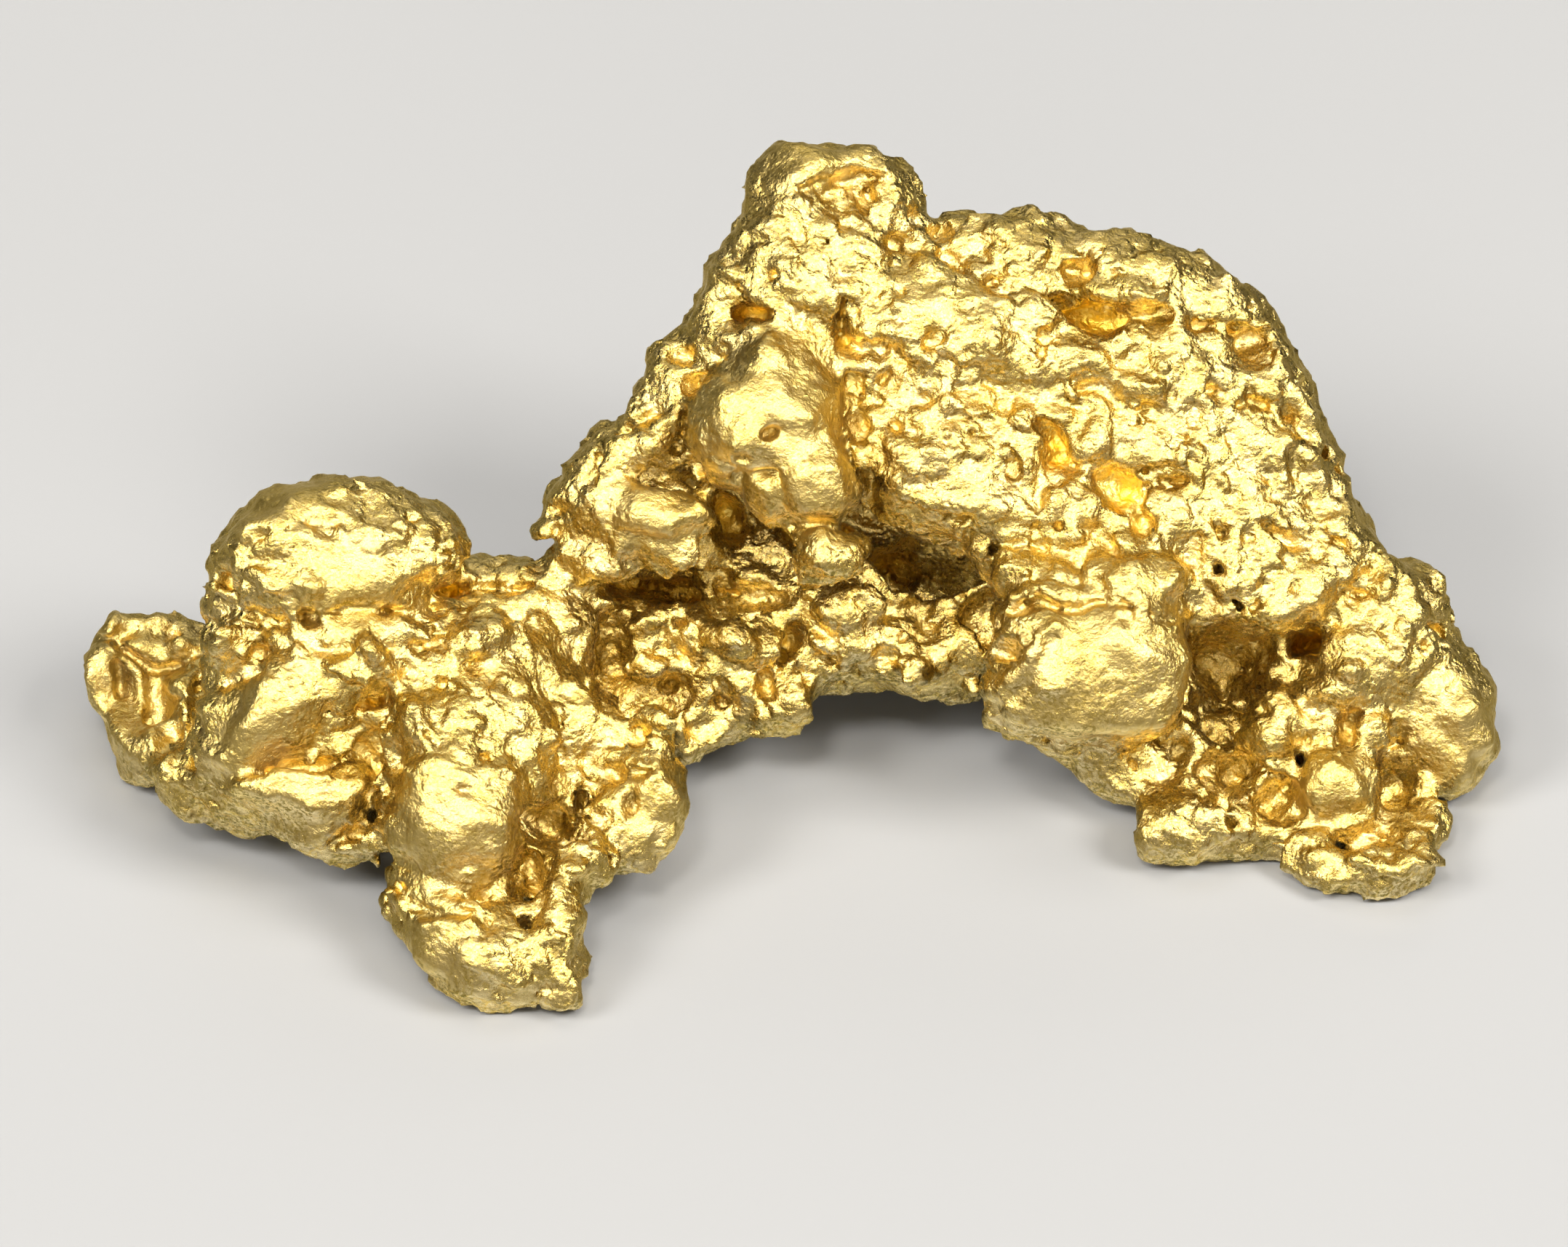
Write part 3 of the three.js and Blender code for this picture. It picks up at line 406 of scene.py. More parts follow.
FOLDS = [
    # the left lump, the far-left lobe, the heel and the toe
    (0.13, 0.2, [(-9.2, -3.4), (-8.6, -3.35), (-8.0, -3.3), (-7.5, -3.2), (-7.3, -3.4)]),
    (0.18, 0.32, [(-7.1, -1.0), (-6.7, -1.5), (-6.35, -2.0), (-6.0, -2.6)]),
    (0.1, 0.15, [(-6.65, -5.1), (-6.3, -5.45), (-6.1, -5.65), (-5.6, -5.62), (-5.2, -5.75)]),
    (0.12, 0.2, [(-11.75, -1.3), (-11.75, -1.9), (-11.5, -2.35), (-11.1, -2.75), (-10.9, -3.2)]),
    (0.09, 0.15, [(-10.95, -1.4), (-10.9, -2.0), (-11.0, -2.5), (-10.8, -3.1)]),
    (0.08, 0.08, [(-7.9, 0.9), (-7.4, 0.55), (-7.0, 0.5)]),
    (0.1, 0.1, [(-9.0, 0.75), (-8.5, 1.0), (-8.3, 1.3)]),
    (0.17, 0.13, [(-8.9, 0.1), (-8.3, 0.02), (-7.9, -0.05)]),
    # the wing
    (0.08, 0.1, [(-3.6, 1.7), (-3.2, 2.2), (-2.7, 2.65), (-2.2, 2.95)]),
    (0.08, 0.1, [(-3.25, 1.5), (-2.95, 2.1), (-2.4, 2.5), (-2.0, 2.7)]),
    (0.08, 0.12, [
        (-3.6, 0.1), (-3.0, 0.25), (-2.8, 0.5), (-2.3, 0.5), (-1.9, 0.35), (-1.65, 0.25), (-1.3, 0.6),
    ]),
    # the ridge and the face
    (0.15, 0.22, [(5.05, 4.85), (5.6, 4.75), (6.2, 4.8)]),
    (0.07, 0.12, [(7.9, 4.4), (8.1, 4.2), (8.2, 3.9), (8.15, 3.6)]),
    (0.1, 0.12, [(4.65, 3.4), (4.75, 3.0), (4.7, 2.7)]),
    (0.09, 0.1, [(6.1, 4.0), (6.4, 3.8), (6.3, 3.5)]),
    (0.12, 0.12, [(5.5, 3.5), (5.9, 3.25), (6.2, 3.3)]),
    (0.09, 0.1, [(6.0, 2.6), (6.4, 2.3), (6.8, 2.2), (7.0, 2.0)]),
    (0.1, 0.1, [(8.5, 3.3), (8.6, 2.9), (8.8, 2.6)]),
    (0.1, 0.12, [(7.85, 3.3), (8.1, 3.2), (8.4, 3.3)]),
    (0.07, 0.08, [(2.6, 4.85), (3.1, 4.8), (3.5, 4.7)]),
    (0.07, 0.08, [(3.2, 4.1), (3.5, 3.9), (3.6, 3.6)]),
    (0.08, 0.1, [(7.2, 1.7), (7.6, 1.7), (7.9, 1.5)]),
    (0.09, 0.1, [(8.2, 2.1), (8.35, 1.8), (8.3, 1.6)]),
    (0.1, 0.1, [(9.9, 0.2), (10.3, 0.15), (10.5, -0.2), (10.45, -0.6), (10.2, -0.8)]),
    # the nose
    (0.13, 0.15, [(3.4, -1.9), (3.9, -1.5), (4.2, -1.0), (4.5, -0.7)]),
    (0.05, 0.07, [(4.0, -1.9), (4.3, -1.82), (4.6, -1.75)]),
    (0.05, 0.1, [(4.85, -2.85), (5.0, -2.6)]),
    (0.08, 0.15, [(3.4, -2.1), (3.5, -2.5)]),
    (0.05, 0.12, [(3.6, -0.2), (3.8, -0.45)]),
    # the right foot
    (0.07, 0.15, [(6.8, -3.7), (7.15, -3.95), (7.2, -4.15)]),
    (0.08, 0.12, [(7.3, -4.15), (7.8, -4.05)]),
    (0.08, 0.2, [(9.2, -4.6), (9.7, -4.75), (10.2, -4.8), (10.6, -4.7)]),
    (0.08, 0.1, [(9.05, -2.3), (9.1, -2.7), (9.3, -3.0)]),
]

FURROWS = [
    # round the nub and the centre's lobes
    (0.06, 0.3, [(-0.05, 1.0), (0.3, 0.93), (0.7, 0.97), (1.15, 0.85)]),
    (0.07, 0.25, [(-0.05, 0.9), (0.02, 0.4), (0.15, -0.05)]),
    (0.06, 0.2, [(-1.3, 2.1), (-0.7, 1.75), (-0.1, 1.75), (0.0, 1.3)]),
    (0.07, 0.3, [(1.0, 3.0), (0.98, 2.5), (1.05, 2.0), (1.15, 1.6)]),
    # the left lump and the far-left lobe
    (0.05, 0.18, [(-9.26, 0.3), (-9.15, 0.0), (-9.1, -0.54)]),
    (0.05, 0.12, [(-9.1, 0.52), (-8.33, 0.9), (-7.9, 1.0), (-7.5, 0.94)]),
    (0.05, 0.12, [(-8.0, 1.02), (-7.6, 0.75), (-7.07, 0.48)]),
    (0.05, 0.2, [(-8.4, -0.55), (-7.9, -0.47), (-7.3, -0.47), (-6.4, -0.54)]),
    (0.06, 0.4, [(-9.8, -1.3), (-9.93, -1.8), (-9.95, -2.2), (-10.15, -2.6)]),
    (0.08, 0.35, [(-11.7, -1.0), (-11.3, -1.04), (-11.0, -1.25), (-10.7, -1.46), (-10.1, -1.5)]),
    (0.06, 0.3, [(-8.9, -1.5), (-8.65, -1.33)]),
    (0.05, 0.2, [(-8.55, -1.12), (-8.35, -1.05)]),
    # the heel and the toe
    (0.07, 0.35, [(-6.5, -5.1), (-6.2, -5.45), (-5.7, -5.5), (-5.2, -5.55), (-4.9, -5.65)]),
    (0.04, 0.1, [(-4.7, -6.7), (-4.3, -6.85), (-3.9, -6.8)]),
    (0.04, 0.2, [(-4.5, -4.36), (-4.1, -4.32)]),
    # the neck and the wing
    (0.05, 0.15, [(-6.3, -1.1), (-5.9, -1.05), (-5.6, -1.2), (-5.4, -1.4)]),
    (0.05, 0.2, [(-6.6, -0.57), (-6.15, -0.55)]),
    (0.05, 0.25, [(-5.25, -1.4), (-5.22, -1.22), (-5.0, -1.2)]),
    (0.05, 0.2, [(-3.9, 0.95), (-3.65, 1.4)]),
    (0.05, 0.15, [(-2.9, 0.85), (-2.4, 0.75), (-2.0, 0.65)]),
    (0.04, 0.1, [(-3.4, 1.6), (-3.1, 2.1), (-2.6, 2.55)]),
    # the peak
    (0.05, 0.12, [(-0.75, 5.93), (-0.4, 5.63), (0.0, 5.67), (0.55, 5.75)]),
    (0.04, 0.12, [(-0.05, 5.4), (0.25, 5.35)]),
    (0.06, 0.35, [(0.9, 4.75), (0.88, 4.4), (0.93, 4.1), (1.0, 3.75)]),
    (0.09, 0.5, [(1.6, 3.45), (1.45, 3.2), (1.15, 3.1), (1.1, 2.9)]),
    (0.08, 0.3, [(2.55, 5.55), (2.85, 5.25), (3.1, 5.07), (3.5, 5.0)]),
    (0.05, 0.2, [(2.55, 3.7), (3.2, 3.55)]),
    (0.05, 0.25, [(0.25, 6.6), (0.4, 6.65), (0.55, 6.72)]),
    (0.04, 0.12, [(-0.45, 6.5), (-0.1, 6.5)]),
    # the face
    (0.05, 0.15, [(4.7, 3.45), (5.0, 3.25), (5.3, 3.4), (5.6, 3.05)]),
    (0.05, 0.12, [(5.6, 2.68), (6.0, 2.65), (6.4, 2.3)]),
    (0.06, 0.12, [(4.28, 4.3), (4.3, 3.7)]),
    (0.04, 0.1, [(5.2, 3.9), (5.45, 3.6)]),
    (0.04, 0.12, [(2.9, 2.85), (3.3, 2.6)]),
    (0.05, 0.15, [(7.5, 1.4), (7.8, 1.35), (8.0, 1.2)]),
    (0.04, 0.12, [(8.5, -0.05), (9.0, 0.0), (9.5, -0.2), (9.9, -0.35)]),
    (0.05, 0.1, [(9.0, 1.3), (9.3, 0.9), (9.6, 0.7)]),
    (0.05, 0.25, [(7.3, -0.05), (7.45, -0.3), (7.55, -0.45)]),
    # the nose and the arch
    (0.05, 0.22, [(3.5, -0.35), (4.3, -0.45), (5.1, -0.35), (5.8, -0.45), (6.4, -0.6)]),
    (0.05, 0.2, [(3.9, -0.42), (4.2, -0.38), (4.5, -0.4)]),
    (0.04, 0.15, [(5.18, 0.05), (5.22, -0.15)]),
    (0.05, 0.25, [(0.4, -1.35), (0.9, -1.28), (1.2, -1.2)]),
    # the right foot
    (0.06, 0.5, [(8.8, -2.6), (8.72, -2.85), (8.55, -3.1)]),
]

PITS = [
    # the peak and the centre
    (-0.3, 2.45, 0.19, 0.09, 0.4, 0), (-0.82, 2.12, 0.14, 0.08, 0.25, 0),
    (-0.8, 1.77, 0.2, 0.07, 0.25, 0), (1.77, 2.55, 0.13, 0.08, 0.3, 0), (2.25, 2.98, 0.2, 0.07, 0.2, -15),
    (2.7, 2.8, 0.1, 0.12, 0.2, 0), (0.05, 3.65, 0.15, 0.06, 0.15, 20), (-0.4, 6.33, 0.05, 0.07, 0.15, 0),
    (-0.2, 6.14, 0.12, 0.05, 0.15, 0), (1.75, 5.65, 0.12, 0.05, 0.15, -30),
    (1.88, 4.83, 0.2, 0.1, 0.15, 0), (1.3, 6.55, 0.09, 0.09, 0.25, 0), (1.2, 1.3, 0.08, 0.08, 0.3, 0),
    (2.05, 1.65, 0.3, 0.25, 0.15, 0), (2.68, 1.7, 0.1, 0.1, 0.15, 0), (1.56, 0.88, 0.1, 0.1, 0.2, 0),
    (2.53, 0.43, 0.07, 0.06, 0.2, 0), (1.9, 0.15, 0.25, 0.18, 0.3, 0), (2.3, -0.8, 0.15, 0.1, 0.25, 0),
    (-1.97, -1.7, 0.12, 0.12, 0.4, 0), (-1.15, -2.1, 0.2, 0.11, 0.4, -30),
    (-1.75, -0.67, 0.13, 0.1, 0.25, 0), (-2.73, -0.54, 0.13, 0.09, 0.35, 0),
    (-1.1, -0.25, 0.48, 0.1, 0.4, 3),
    # the ridge and the face
    (3.7, 5.65, 0.1, 0.18, 0.2, 0), (5.3, 5.47, 0.3, 0.05, 0.15, 0), (5.58, 5.42, 0.07, 0.07, 0.2, 0),
    (5.9, 4.38, 0.18, 0.11, 0.3, 0), (7.52, 4.53, 0.1, 0.06, 0.2, 0), (3.77, 3.95, 0.05, 0.06, 0.15, 0),
    (3.6, 2.9, 0.12, 0.08, 0.15, 0), (5.85, 2.95, 0.28, 0.1, 0.2, 0), (6.4, 3.1, 0.06, 0.12, 0.15, 0),
    (7.0, 3.2, 0.28, 0.1, 0.18, 0), (7.68, 3.2, 0.06, 0.08, 0.2, 0), (7.38, 2.4, 0.1, 0.18, 0.12, 0),
    (7.93, 2.1, 0.07, 0.07, 0.15, 0), (5.95, 1.85, 0.11, 0.12, 0.3, 0), (4.5, 0.93, 0.09, 0.09, 0.3, 0),
    (3.57, 0.9, 0.24, 0.05, 0.2, 0), (6.92, 0.85, 0.06, 0.06, 0.25, 0), (7.18, 0.74, 0.09, 0.14, 0.35, 0),
    (7.2, 0.08, 0.1, 0.07, 0.35, 0), (7.3, -0.02, 0.12, 0.08, 0.35, -30),
    (5.55, -0.6, 0.14, 0.18, 0.25, -25), (8.03, -0.08, 0.05, 0.03, 0.08, 0),
    (3.55, -0.65, 0.1, 0.08, 0.2, 0), (5.0, 2.0, 0.06, 0.06, 0.12, 0),
    # the left lump and the neck
    (-8.17, 0.56, 0.2, 0.06, 0.1, -30), (-8.9, -0.8, 0.1, 0.05, 0.25, 0),
    (-8.08, -0.51, 0.08, 0.06, 0.25, 0), (-6.56, -0.56, 0.16, 0.04, 0.2, 0),
    (-7.37, 0.83, 0.06, 0.06, 0.12, 0), (-7.02, 0.97, 0.05, 0.05, 0.1, 0),
    (-6.52, 0.14, 0.1, 0.06, 0.15, 20), (-6.35, 1.23, 0.1, 0.03, 0.1, 0),
    (-5.85, 0.8, 0.05, 0.08, 0.15, 0), (-9.33, 0.1, 0.12, 0.07, 0.2, -20),
    (-6.65, -2.35, 0.14, 0.05, 0.3, 25), (-9.62, -0.15, 0.05, 0.05, 0.1, 0),
    (-6.0, -0.42, 0.1, 0.05, 0.25, 0), (-4.68, -0.8, 0.03, 0.03, 0.08, 0),
    (-6.95, -3.86, 0.1, 0.08, 0.3, 0),
    # the heel, the toe and the calf
    (-5.36, -4.76, 0.09, 0.06, 0.15, 0), (-5.34, -3.5, 0.14, 0.07, 0.12, 0),
    (-5.62, -3.4, 0.08, 0.06, 0.1, 0), (-3.85, -2.95, 0.05, 0.14, 0.2, 0),
    (-4.2, -3.12, 0.12, 0.12, 0.18, 0), (-6.8, -4.98, 0.09, 0.12, 0.35, 30),
    (-3.35, -4.3, 0.12, 0.1, 0.35, 0), (-3.1, -4.15, 0.06, 0.06, 0.2, 0),
    (-2.5, -3.15, 0.28, 0.08, 0.25, 10), (-1.95, -3.95, 0.05, 0.18, 0.25, 0),
    (-5.35, -5.3, 0.08, 0.2, 0.15, 0),
    # the right foot
    (8.05, -1.76, 0.09, 0.18, 0.4, -35), (8.85, -0.85, 0.13, 0.07, 0.3, 30),
    (8.65, -1.08, 0.12, 0.08, 0.35, 0), (9.1, -0.65, 0.05, 0.06, 0.15, 0),
    (9.45, -2.8, 0.06, 0.12, 0.35, 15), (10.32, -2.65, 0.08, 0.07, 0.3, 0),
    (7.88, -3.35, 0.06, 0.06, 0.25, 0), (8.3, -3.45, 0.06, 0.06, 0.25, 0),
    (7.45, -3.76, 0.06, 0.05, 0.2, 0), (6.9, -1.0, 0.12, 0.1, 0.25, 0), (8.95, -0.98, 0.08, 0.06, 0.2, 0),
]


def path_places(path, step):
    """Places step mm apart along the straight runs that join the places of a path."""
    path = [np.array(place) for place in path]
    places = [path[0]]
    for start, end in zip(path, path[1:]):
        count = max(1, math.ceil(np.linalg.norm(end - start) / step))
        places += [start + (end - start) * (i + 1) / count for i in range(count)]
    return places


def hollow_out(field, bowl, blend):
    across, up, length, height, depth, turn = bowl
    face = field.face_at(across, up)
    if face is not None:
        place = (across, up, face - SUNK * depth)
        field.cut(place, (length, height, (1 - SUNK) * depth), turn, blend)


def raise_up(field, lump, blend):
    across, up, length, height, rise, turn = lump
    face = field.face_at(across, up)
    thick = max(0.5 * (length + height), rise)
    if face is not None:
        field.add((across, up, face + rise - thick), (length, height, thick), turn, blend)


def places_on_face(field, path, step):
    """The places (across, up, out) along a path on the front's skin, all found before it changes."""
    places = [(*place, field.face_at(*place)) for place in path_places(path, step)]
    return [place for place in places if place[2] is not None]


def cut_furrow(field, furrow, blend):
    width, depth, path = furrow
    for place in places_on_face(field, path, 0.8 * width):
        field.cut(place, (width, width, depth), 0, blend)


def raise_fold(field, fold, blend):
    width, rise, path = fold
    thick = max(1.5 * width, rise)
    for across, up, face in places_on_face(field, path, 0.8 * width):
        field.add((across, up, face + rise - thick), (width, width, thick), 0, blend)


def even_out(field):
    """Softens the broad steps across the face, inside a rounded region of the board."""
    centre, half = (5.4, 2.3, 1.3), (3.6, 2.3, 1.6)
    index, points = field.near(0.8)
    gap = np.sqrt((((to_board(points) - centre) / half) ** 2).sum(1))
    share = np.clip(2.4 - 2.4 * gap, 0, 1)
    smooth = field.sample(points, field.blur(2.6, 2), 2)
    field.values[index] += (share * (smooth - field.values[index])).astype(np.float32)


def carve(field):
    for mass in MASSES:
        raise_up(field, mass, BLEND["mass"])
    for across, up, out, *half, turn in BLOCKS:
        field.add((across, up, out), half, turn, BLEND["block"], power=3.5)
    for across, up, out, *half, turn in UNDERCUTS:
        field.cut((across, up, out), half, turn, BLEND["cavern"])
    for bowl in CAVERNS:
        hollow_out(field, bowl, BLEND["cavern"])
    for lump in LUMPS:
        raise_up(field, lump, BLEND["lump"])
    for line in FOLDS:
        raise_fold(field, line, BLEND["lump"])
    for line in FURROWS:
        cut_furrow(field, line, BLEND["pit"])
    for bowl in PITS:
        hollow_out(field, bowl, BLEND["pit"])


# ---------------------------------------------------------------- the skin's detail

# Stretches that water has worn smooth: across, up, out, radius.
WORN = [
    (-0.3, 2.6, 2.0, 1.3), (0.4, 1.5, 2.2, 0.8), (5.2, -1.4, 2.5, 1.5), (-5.6, -4.2, 4.0, 1.1),
    (-8.4, 1.2, 2.4, 0.9), (-11.3, -1.8, -0.4, 1.3), (-8.8, -2.4, 3.0, 0.9), (0.3, 7.1, 0.6, 0.7),
    (-2.2, -3.7, 2.6, 0.6), (11.3, -2.4, 0.4, 0.8), (9.1, -3.5, 1.2, 0.6), (-8.2, -3.7, 3.0, 0.7),
    (-5.8, -6.0, 4.2, 0.7), (-7.4, 0.0, 2.8, 0.8), (-2.2, 1.2, 2.0, 0.9), (5.2, -2.2, 2.6, 1.2),
]


def worn_share(points):
    """1 where the skin is worn smooth, 0 where it is rough."""
    board = to_board(points)
    share = np.zeros(len(points), np.float32)
    for across, up, out, radius in WORN:
        gap = np.linalg.norm(board - (across, up, out), axis=1) / radius
        share = np.maximum(share, np.clip(1.6 - gap * 1.1, 0, 1))
    return share


def roughen(field):
    """Lumps, creases, pits and crumples, finer and finer, over the whole nugget."""
    index, points = field.near(0.45)
    value = field.sample(warp(warp(points, 0.75, 0.14, 1), 0.3, 0.05, 4))
    rough = 1 - 0.75 * worn_share(points)

    # lumps, then smaller ones with creases between them
    bent = warp(points, 1.3, 0.35, 11)
    first, _, kind = cells(bent, 0.85, 21)
    value = value - rough * (0.14 * (0.55 - first) + 0.07 * (kind - 0.5))
    bent = warp(points, 0.5, 0.16, 31)
    first, second, kind = cells(bent, 0.42, 41)
    crease = np.clip(second - first, 0, 0.3) / 0.3
    value = value - rough * (0.06 * (0.55 - first) + 0.04 * (crease - 0.6) + 0.03 * (kind - 0.5))

    # worm-like folds, longest down to the right
    across, up, out = to_board(warp(points, 0.8, 0.3, 51)).T
    cos, sin = math.cos(math.radians(38)), math.sin(math.radians(38))
    along = 0.55 * (across * cos - up * sin)
    wave = np.abs(smooth_noise(np.stack([along, across * sin + up * cos, out], 1), 0.5, 61))
    value = value + rough * 0.18 * (np.minimum(wave, 0.4) - 0.25)

    # pits of two sizes, with rounded rims, and a fine grain
    pit, _, kind = cells(warp(points, 0.4, 0.08, 71), 0.8, 81, share=0.35)
    size = 0.06 + 0.16 * kind
    value = -smooth_min(-value, pit * 0.8 - size * rough, 0.05)
    pit, _, kind = cells(points, 0.36, 91, share=0.25)
    size = 0.04 + 0.07 * kind
    value = -smooth_min(-value, pit * 0.36 - size * rough, 0.03)
    value = value - 0.02 * smooth_noise(points, 0.24, 95) * (0.4 + 0.6 * rough)
    field.values[index] = value


def build_skin(field):
    """The surface of the field as a mesh."""
    grid = openvdb.FloatGrid(BAND * CELL)
    grid.transform = field.transform
    grid.copyFromArray(field.values, ijk=tuple(int(i) for i in field.first))
    points, quads = grid.convertToQuads(0.0)
    mesh = bpy.data.meshes.new("nugget_skin")
    mesh.from_pydata((points * MM).tolist(), [], quads[:, ::-1].tolist())
    return mesh


def largest_piece(mesh):
    """Deletes every piece of a mesh but the one with the most vertices."""
    edges = np.empty(len(mesh.edges) * 2, np.int32)
    mesh.edges.foreach_get("vertices", edges)
    edges = edges.reshape(-1, 2)
    label = np.arange(len(mesh.vertices))
    while True:
        low = np.minimum(label[edges[:, 0]], label[edges[:, 1]])
        new = label.copy()
        np.minimum.at(new, edges[:, 0], low)
        np.minimum.at(new, edges[:, 1], low)
        new = new[new]
        if (new == label).all():
            break
        label = new
    largest = np.bincount(label).argmax()
    work = bmesh.new()
    work.from_mesh(mesh)
    work.verts.ensure_lookup_table()
    loose = [work.verts[i] for i in np.nonzero(label != largest)[0]]
    bmesh.ops.delete(work, geom=loose, context="VERTS")
    work.to_mesh(mesh)
    work.free()


def thin_out(piece, triangles):
    """Collapses the edges that matter least until the piece has about this many triangles."""
    count = sum(len(face.vertices) - 2 for face in piece.data.polygons)
    if count <= triangles:
        return
    collapse = piece.modifiers.new("thin out", "DECIMATE")
    collapse.ratio = triangles / count
    done = bpy.data.meshes.new_from_object(piece.evaluated_get(bpy.context.evaluated_depsgraph_get()))
    piece.modifiers.clear()
    piece.data = done


def store(mesh, name, values):
    layer = mesh.attributes.new(name, "FLOAT", "POINT")
    layer.data.foreach_set("value", np.asarray(values, np.float32))


def shape_field():
    field = Field("nugget")
    field.values = field.blur(0.16)
    even_out(field)
    carve(field)
    roughen(field)
    z = field.axes()[2]
    field.values = np.maximum(field.values, -z[None, None, :].astype(np.float32))
    return field


def stand_on_ground(mesh):
    """Lifts the vertices that are below the ground onto it, and returns where they all are."""
    places = np.empty(len(mesh.vertices) * 3, np.float32)
    mesh.vertices.foreach_get("co", places)
    places = places.reshape(-1, 3)
    places[:, 2] = np.maximum(places[:, 2], 0)
    mesh.vertices.foreach_set("co", places.ravel())
    return places


def store_shading(mesh, field, points):
    """What the gold's colour depends on: how deep in a pit or a cavern each vertex lies (negative is
    deep), how worn it is, and how far it faces down. The depths and the facing down set where shade is
    painted into the colour."""
    store(mesh, "pit", field.sample(points, field.blur(0.35)))
    store(mesh, "cave", field.sample(points, field.blur(3.4, 3), 3))
    store(mesh, "worn", worn_share(points))
    mesh.update()
    normals = np.empty(len(mesh.vertices) * 3, np.float32)
    mesh.vertex_normals.foreach_get("vector", normals)
    store(mesh, "under", -normals[2::3])


def make_nugget():
    field = shape_field()
    mesh = build_skin(field)
    largest_piece(mesh)
    piece = bpy.data.objects.new("gold_nugget", mesh)
    bpy.context.scene.collection.objects.link(piece)
    thin_out(piece, TRIANGLES)
    points = stand_on_ground(piece.data) / MM
    piece.data.polygons.foreach_set("use_smooth", [True] * len(piece.data.polygons))
    store_shading(piece.data, field, points)
    return piece


# ---------------------------------------------------------------- the gold

PALE_GOLD = (1.0, 0.80, 0.34, 1)
PALEST_GOLD = (1.0, 0.85, 0.50, 1)
# painted shade and painted inter-reflection for the pits, caverns and creases, brown where the caverns
# are deepest
AMBER = (0.86, 0.55, 0.025, 1)
BRIGHT_AMBER = (0.98, 0.68, 0.05, 1)
BROWN = (0.55, 0.30, 0.015, 1)
# painted dark reflection, in olive specks over the skin
OLIVE = (0.23, 0.185, 0.035, 1)
# painted shade for the faces that turn down
SHADED_GOLD = (0.26, 0.175, 0.04, 1)
EDGE_TINT = (1.0, 0.88, 0.55, 1)


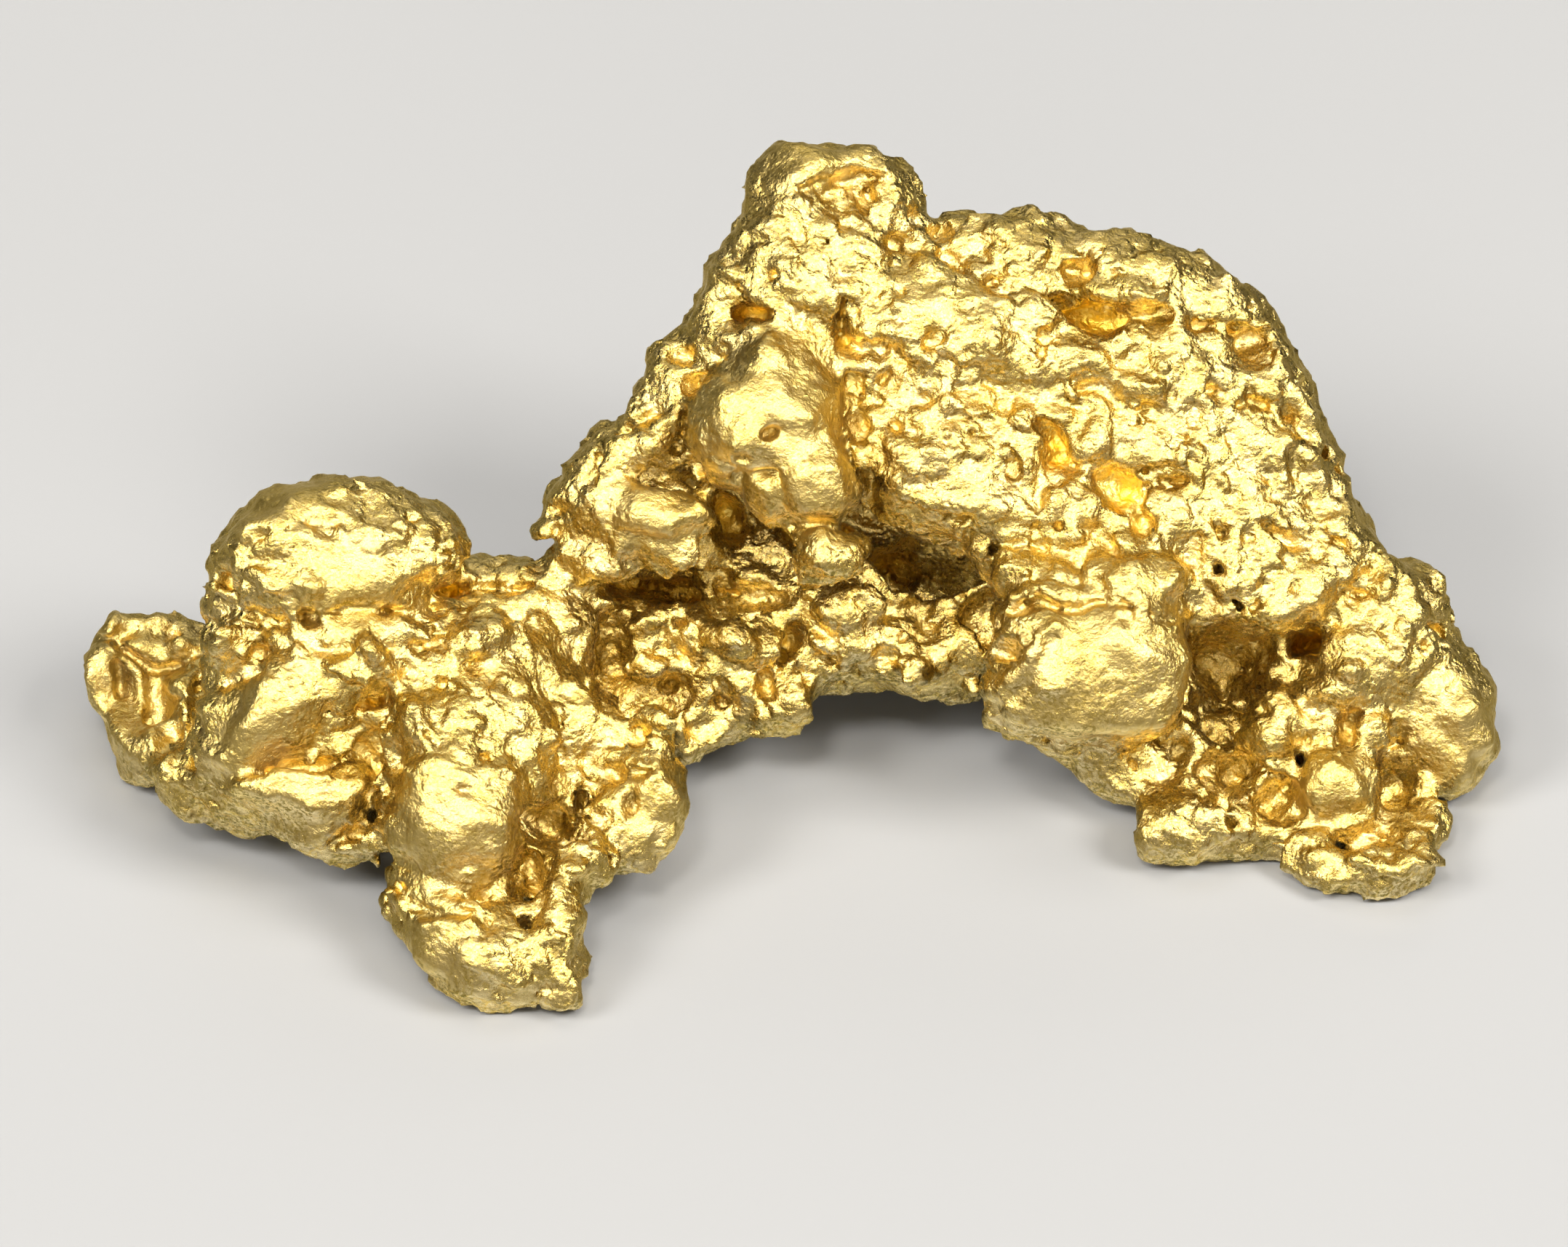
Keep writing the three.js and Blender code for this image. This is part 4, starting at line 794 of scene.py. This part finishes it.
def gold_material():
    material = bpy.data.materials.new("native_gold")
    material.use_nodes = True
    tree = material.node_tree
    link = tree.links.new
    shader = tree.nodes["Principled BSDF"]
    shader.inputs["Metallic"].default_value = 1.0

    def node(kind, **values):
        made = tree.nodes.new(kind)
        for name, value in values.items():
            if name in made.inputs:
                made.inputs[name].default_value = value
            else:
                setattr(made, name, value)
        return made

    def attribute(name):
        return node("ShaderNodeAttribute", attribute_name=name).outputs["Fac"]

    def spread(value, low, high, to_low=0.0, to_high=1.0):
        made = node("ShaderNodeMapRange", clamp=True)
        link(value, made.inputs["Value"])
        made.inputs["From Min"].default_value = low
        made.inputs["From Max"].default_value = high
        made.inputs["To Min"].default_value = to_low
        made.inputs["To Max"].default_value = to_high
        return made.outputs["Result"]

    place = node("ShaderNodeTexCoord").outputs["Object"]

    def noise(size_mm, detail, roughness=0.5):
        made = node("ShaderNodeTexNoise")
        link(place, made.inputs["Vector"])
        made.inputs["Scale"].default_value = 1 / (size_mm * MM)
        made.inputs["Detail"].default_value = detail
        made.inputs["Roughness"].default_value = roughness
        return made.outputs["Fac"]

    def mix(share, a, b):
        made = node("ShaderNodeMix", data_type="RGBA")
        link(share, made.inputs["Factor"])
        for socket, colour in ((made.inputs["A"], a), (made.inputs["B"], b)):
            if isinstance(colour, tuple):
                socket.default_value = colour
            else:
                link(colour, socket)
        return made.outputs["Result"]

    def maths(operation, a, b=0.0):
        made = node("ShaderNodeMath", operation=operation)
        for socket, value in ((made.inputs[0], a), (made.inputs[1], b)):
            if isinstance(value, (int, float)):
                socket.default_value = value
            else:
                link(value, socket)
        return made.outputs["Value"]

    in_pit = spread(attribute("pit"), 0.0, -0.18)
    in_cave = spread(attribute("cave"), -0.05, -0.35)
    unworn = maths("SUBTRACT", 1.0, maths("MULTIPLY", attribute("worn"), 0.6))
    hollow = maths("MULTIPLY", maths("MAXIMUM", in_pit, in_cave), unworn)

    # Folds are where a slow noise crosses its middle value: sharp creases between soft bulges.
    fold = maths("ABSOLUTE", maths("SUBTRACT", noise(0.36, 2, 0.6), 0.5))
    # painted shade in the creases: they take the hollows' amber below
    crease = maths("MULTIPLY", spread(fold, 0.05, 0.0), maths("MULTIPLY", unworn, 0.55))
    speckle = noise(0.06, 4, 0.7)

    skin = mix(spread(noise(1.1, 3), 0.35, 0.65), PALE_GOLD, PALEST_GOLD)
    # painted shade and painted inter-reflection: amber in the pits, caverns and creases, brown deep in
    # the caverns, less where the gold is worn
    deep = mix(spread(noise(0.5, 2), 0.3, 0.7), AMBER, BRIGHT_AMBER)
    deep = mix(spread(attribute("cave"), -0.35, -0.7), deep, BROWN)
    gold = mix(maths("MAXIMUM", hollow, crease), skin, deep)
    # painted dark reflection: olive specks in patches, fewer in the hollows
    specks = spread(noise(0.075, 3, 0.7), 0.48, 0.56)
    patches = spread(noise(0.8, 4, 0.6), 0.37, 0.55)
    painted_dark_reflection = maths("MULTIPLY", specks, patches)
    painted_dark_reflection = maths("MULTIPLY", painted_dark_reflection, maths("SUBTRACT", 0.9, maths("MULTIPLY", hollow, 0.8)))
    gold = mix(painted_dark_reflection, gold, OLIVE)
    # painted shade: the faces that turn down are darkened towards SHADED_GOLD, less in the hollows
    under = spread(attribute("under"), -0.4, 0.15, 0.0, 0.9)
    under = maths("MULTIPLY", under, maths("SUBTRACT", 1.0, maths("MULTIPLY", hollow, 0.6)))
    link(mix(under, gold, SHADED_GOLD), shader.inputs["Base Color"])
    shader.inputs["Specular Tint"].default_value = EDGE_TINT

    satin = spread(speckle, 0.3, 0.7, 0.19, 0.34)
    satin = maths("ADD", satin, maths("MULTIPLY", attribute("worn"), 0.1))
    satin = maths("ADD", satin, maths("MULTIPLY", hollow, 0.12))
    link(satin, shader.inputs["Roughness"])

    grain = node("ShaderNodeBump", Strength=0.8, Distance=0.018 * MM)
    link(speckle, grain.inputs["Height"])
    crumple = node("ShaderNodeBump", Strength=0.8, Distance=0.05 * MM)
    link(noise(0.16, 3, 0.6), crumple.inputs["Height"])
    link(grain.outputs["Normal"], crumple.inputs["Normal"])
    folds = node("ShaderNodeBump", Strength=0.8, Distance=0.12 * MM)
    link(maths("MULTIPLY", fold, unworn), folds.inputs["Height"])
    link(crumple.outputs["Normal"], folds.inputs["Normal"])
    link(folds.outputs["Normal"], shader.inputs["Normal"])
    return material


# ---------------------------------------------------------------- the studio

def plain_material(name, colour, roughness):
    material = bpy.data.materials.new(name)
    material.use_nodes = True
    shader = material.node_tree.nodes["Principled BSDF"]
    shader.inputs["Base Color"].default_value = colour
    shader.inputs["Roughness"].default_value = roughness
    return material


def make_floor():
    half = 0.6
    mesh = bpy.data.meshes.new("floor")
    corners = [(-half, -half, 0), (half, -half, 0), (half, half, 0), (-half, half, 0)]
    mesh.from_pydata(corners, [], [(0, 1, 2, 3)])
    floor = bpy.data.objects.new("floor", mesh)
    bpy.context.scene.collection.objects.link(floor)
    mesh.materials.append(plain_material("floor", (0.135, 0.132, 0.126, 1), 0.7))


def aim(thing, target):
    thing.rotation_euler = (Vector(target) - thing.location).to_track_quat("-Z", "Y").to_euler()


def make_light(name, place, size, power):
    data = bpy.data.lights.new(name, "AREA")
    data.shape = "RECTANGLE"
    data.size, data.size_y = size
    data.energy = power
    light = bpy.data.objects.new(name, data)
    bpy.context.scene.collection.objects.link(light)
    light.location = place
    aim(light, (0, 0, 0.004))


def make_studio():
    make_light("left_window", (-0.24, -0.14, 0.27), (0.15, 0.15), 2.9)
    make_light("right_window", (0.25, -0.12, 0.28), (0.15, 0.15), 3.8)
    make_light("top_window", (0.0, 0.08, 0.38), (0.34, 0.16), 0.9)
    make_light("front_window", (0.0, -0.19, 0.34), (0.30, 0.12), 1.2)
    make_light("bright_window", (-0.06, -0.20, 0.35), (0.07, 0.07), 1.3)
    make_light("low_window", (0.0, -0.36, 0.14), (0.34, 0.10), 0.75)
    make_light("back_window", (0.0, 0.30, 0.20), (0.40, 0.14), 0.5)
    world = bpy.data.worlds.new("studio")
    world.use_nodes = True
    background = world.node_tree.nodes["Background"]
    background.inputs["Color"].default_value = (1.0, 0.96, 0.88, 1)
    background.inputs["Strength"].default_value = 0.03
    bpy.context.scene.world = world
    bpy.context.scene.view_settings.view_transform = "Standard"


def make_camera():
    """A long lens that looks down at LEAN, square to the board."""
    distance = 0.26
    view_width = 26.4 * MM
    data = bpy.data.cameras.new("camera")
    data.sensor_width = 36
    data.lens = data.sensor_width * distance / view_width
    data.clip_start = 0.01
    camera = bpy.data.objects.new("camera", data)
    bpy.context.scene.collection.objects.link(camera)
    target = Vector(to_frame((-0.09, -0.70, 0.0)) * MM)
    camera.location = target + Vector((0, -math.cos(LEAN), math.sin(LEAN))) * distance
    aim(camera, target)
    bpy.context.scene.camera = camera


make_camera()
make_studio()
make_floor()

nugget = make_nugget()
nugget.data.materials.append(gold_material())
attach(nugget, "root")
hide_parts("nugget")
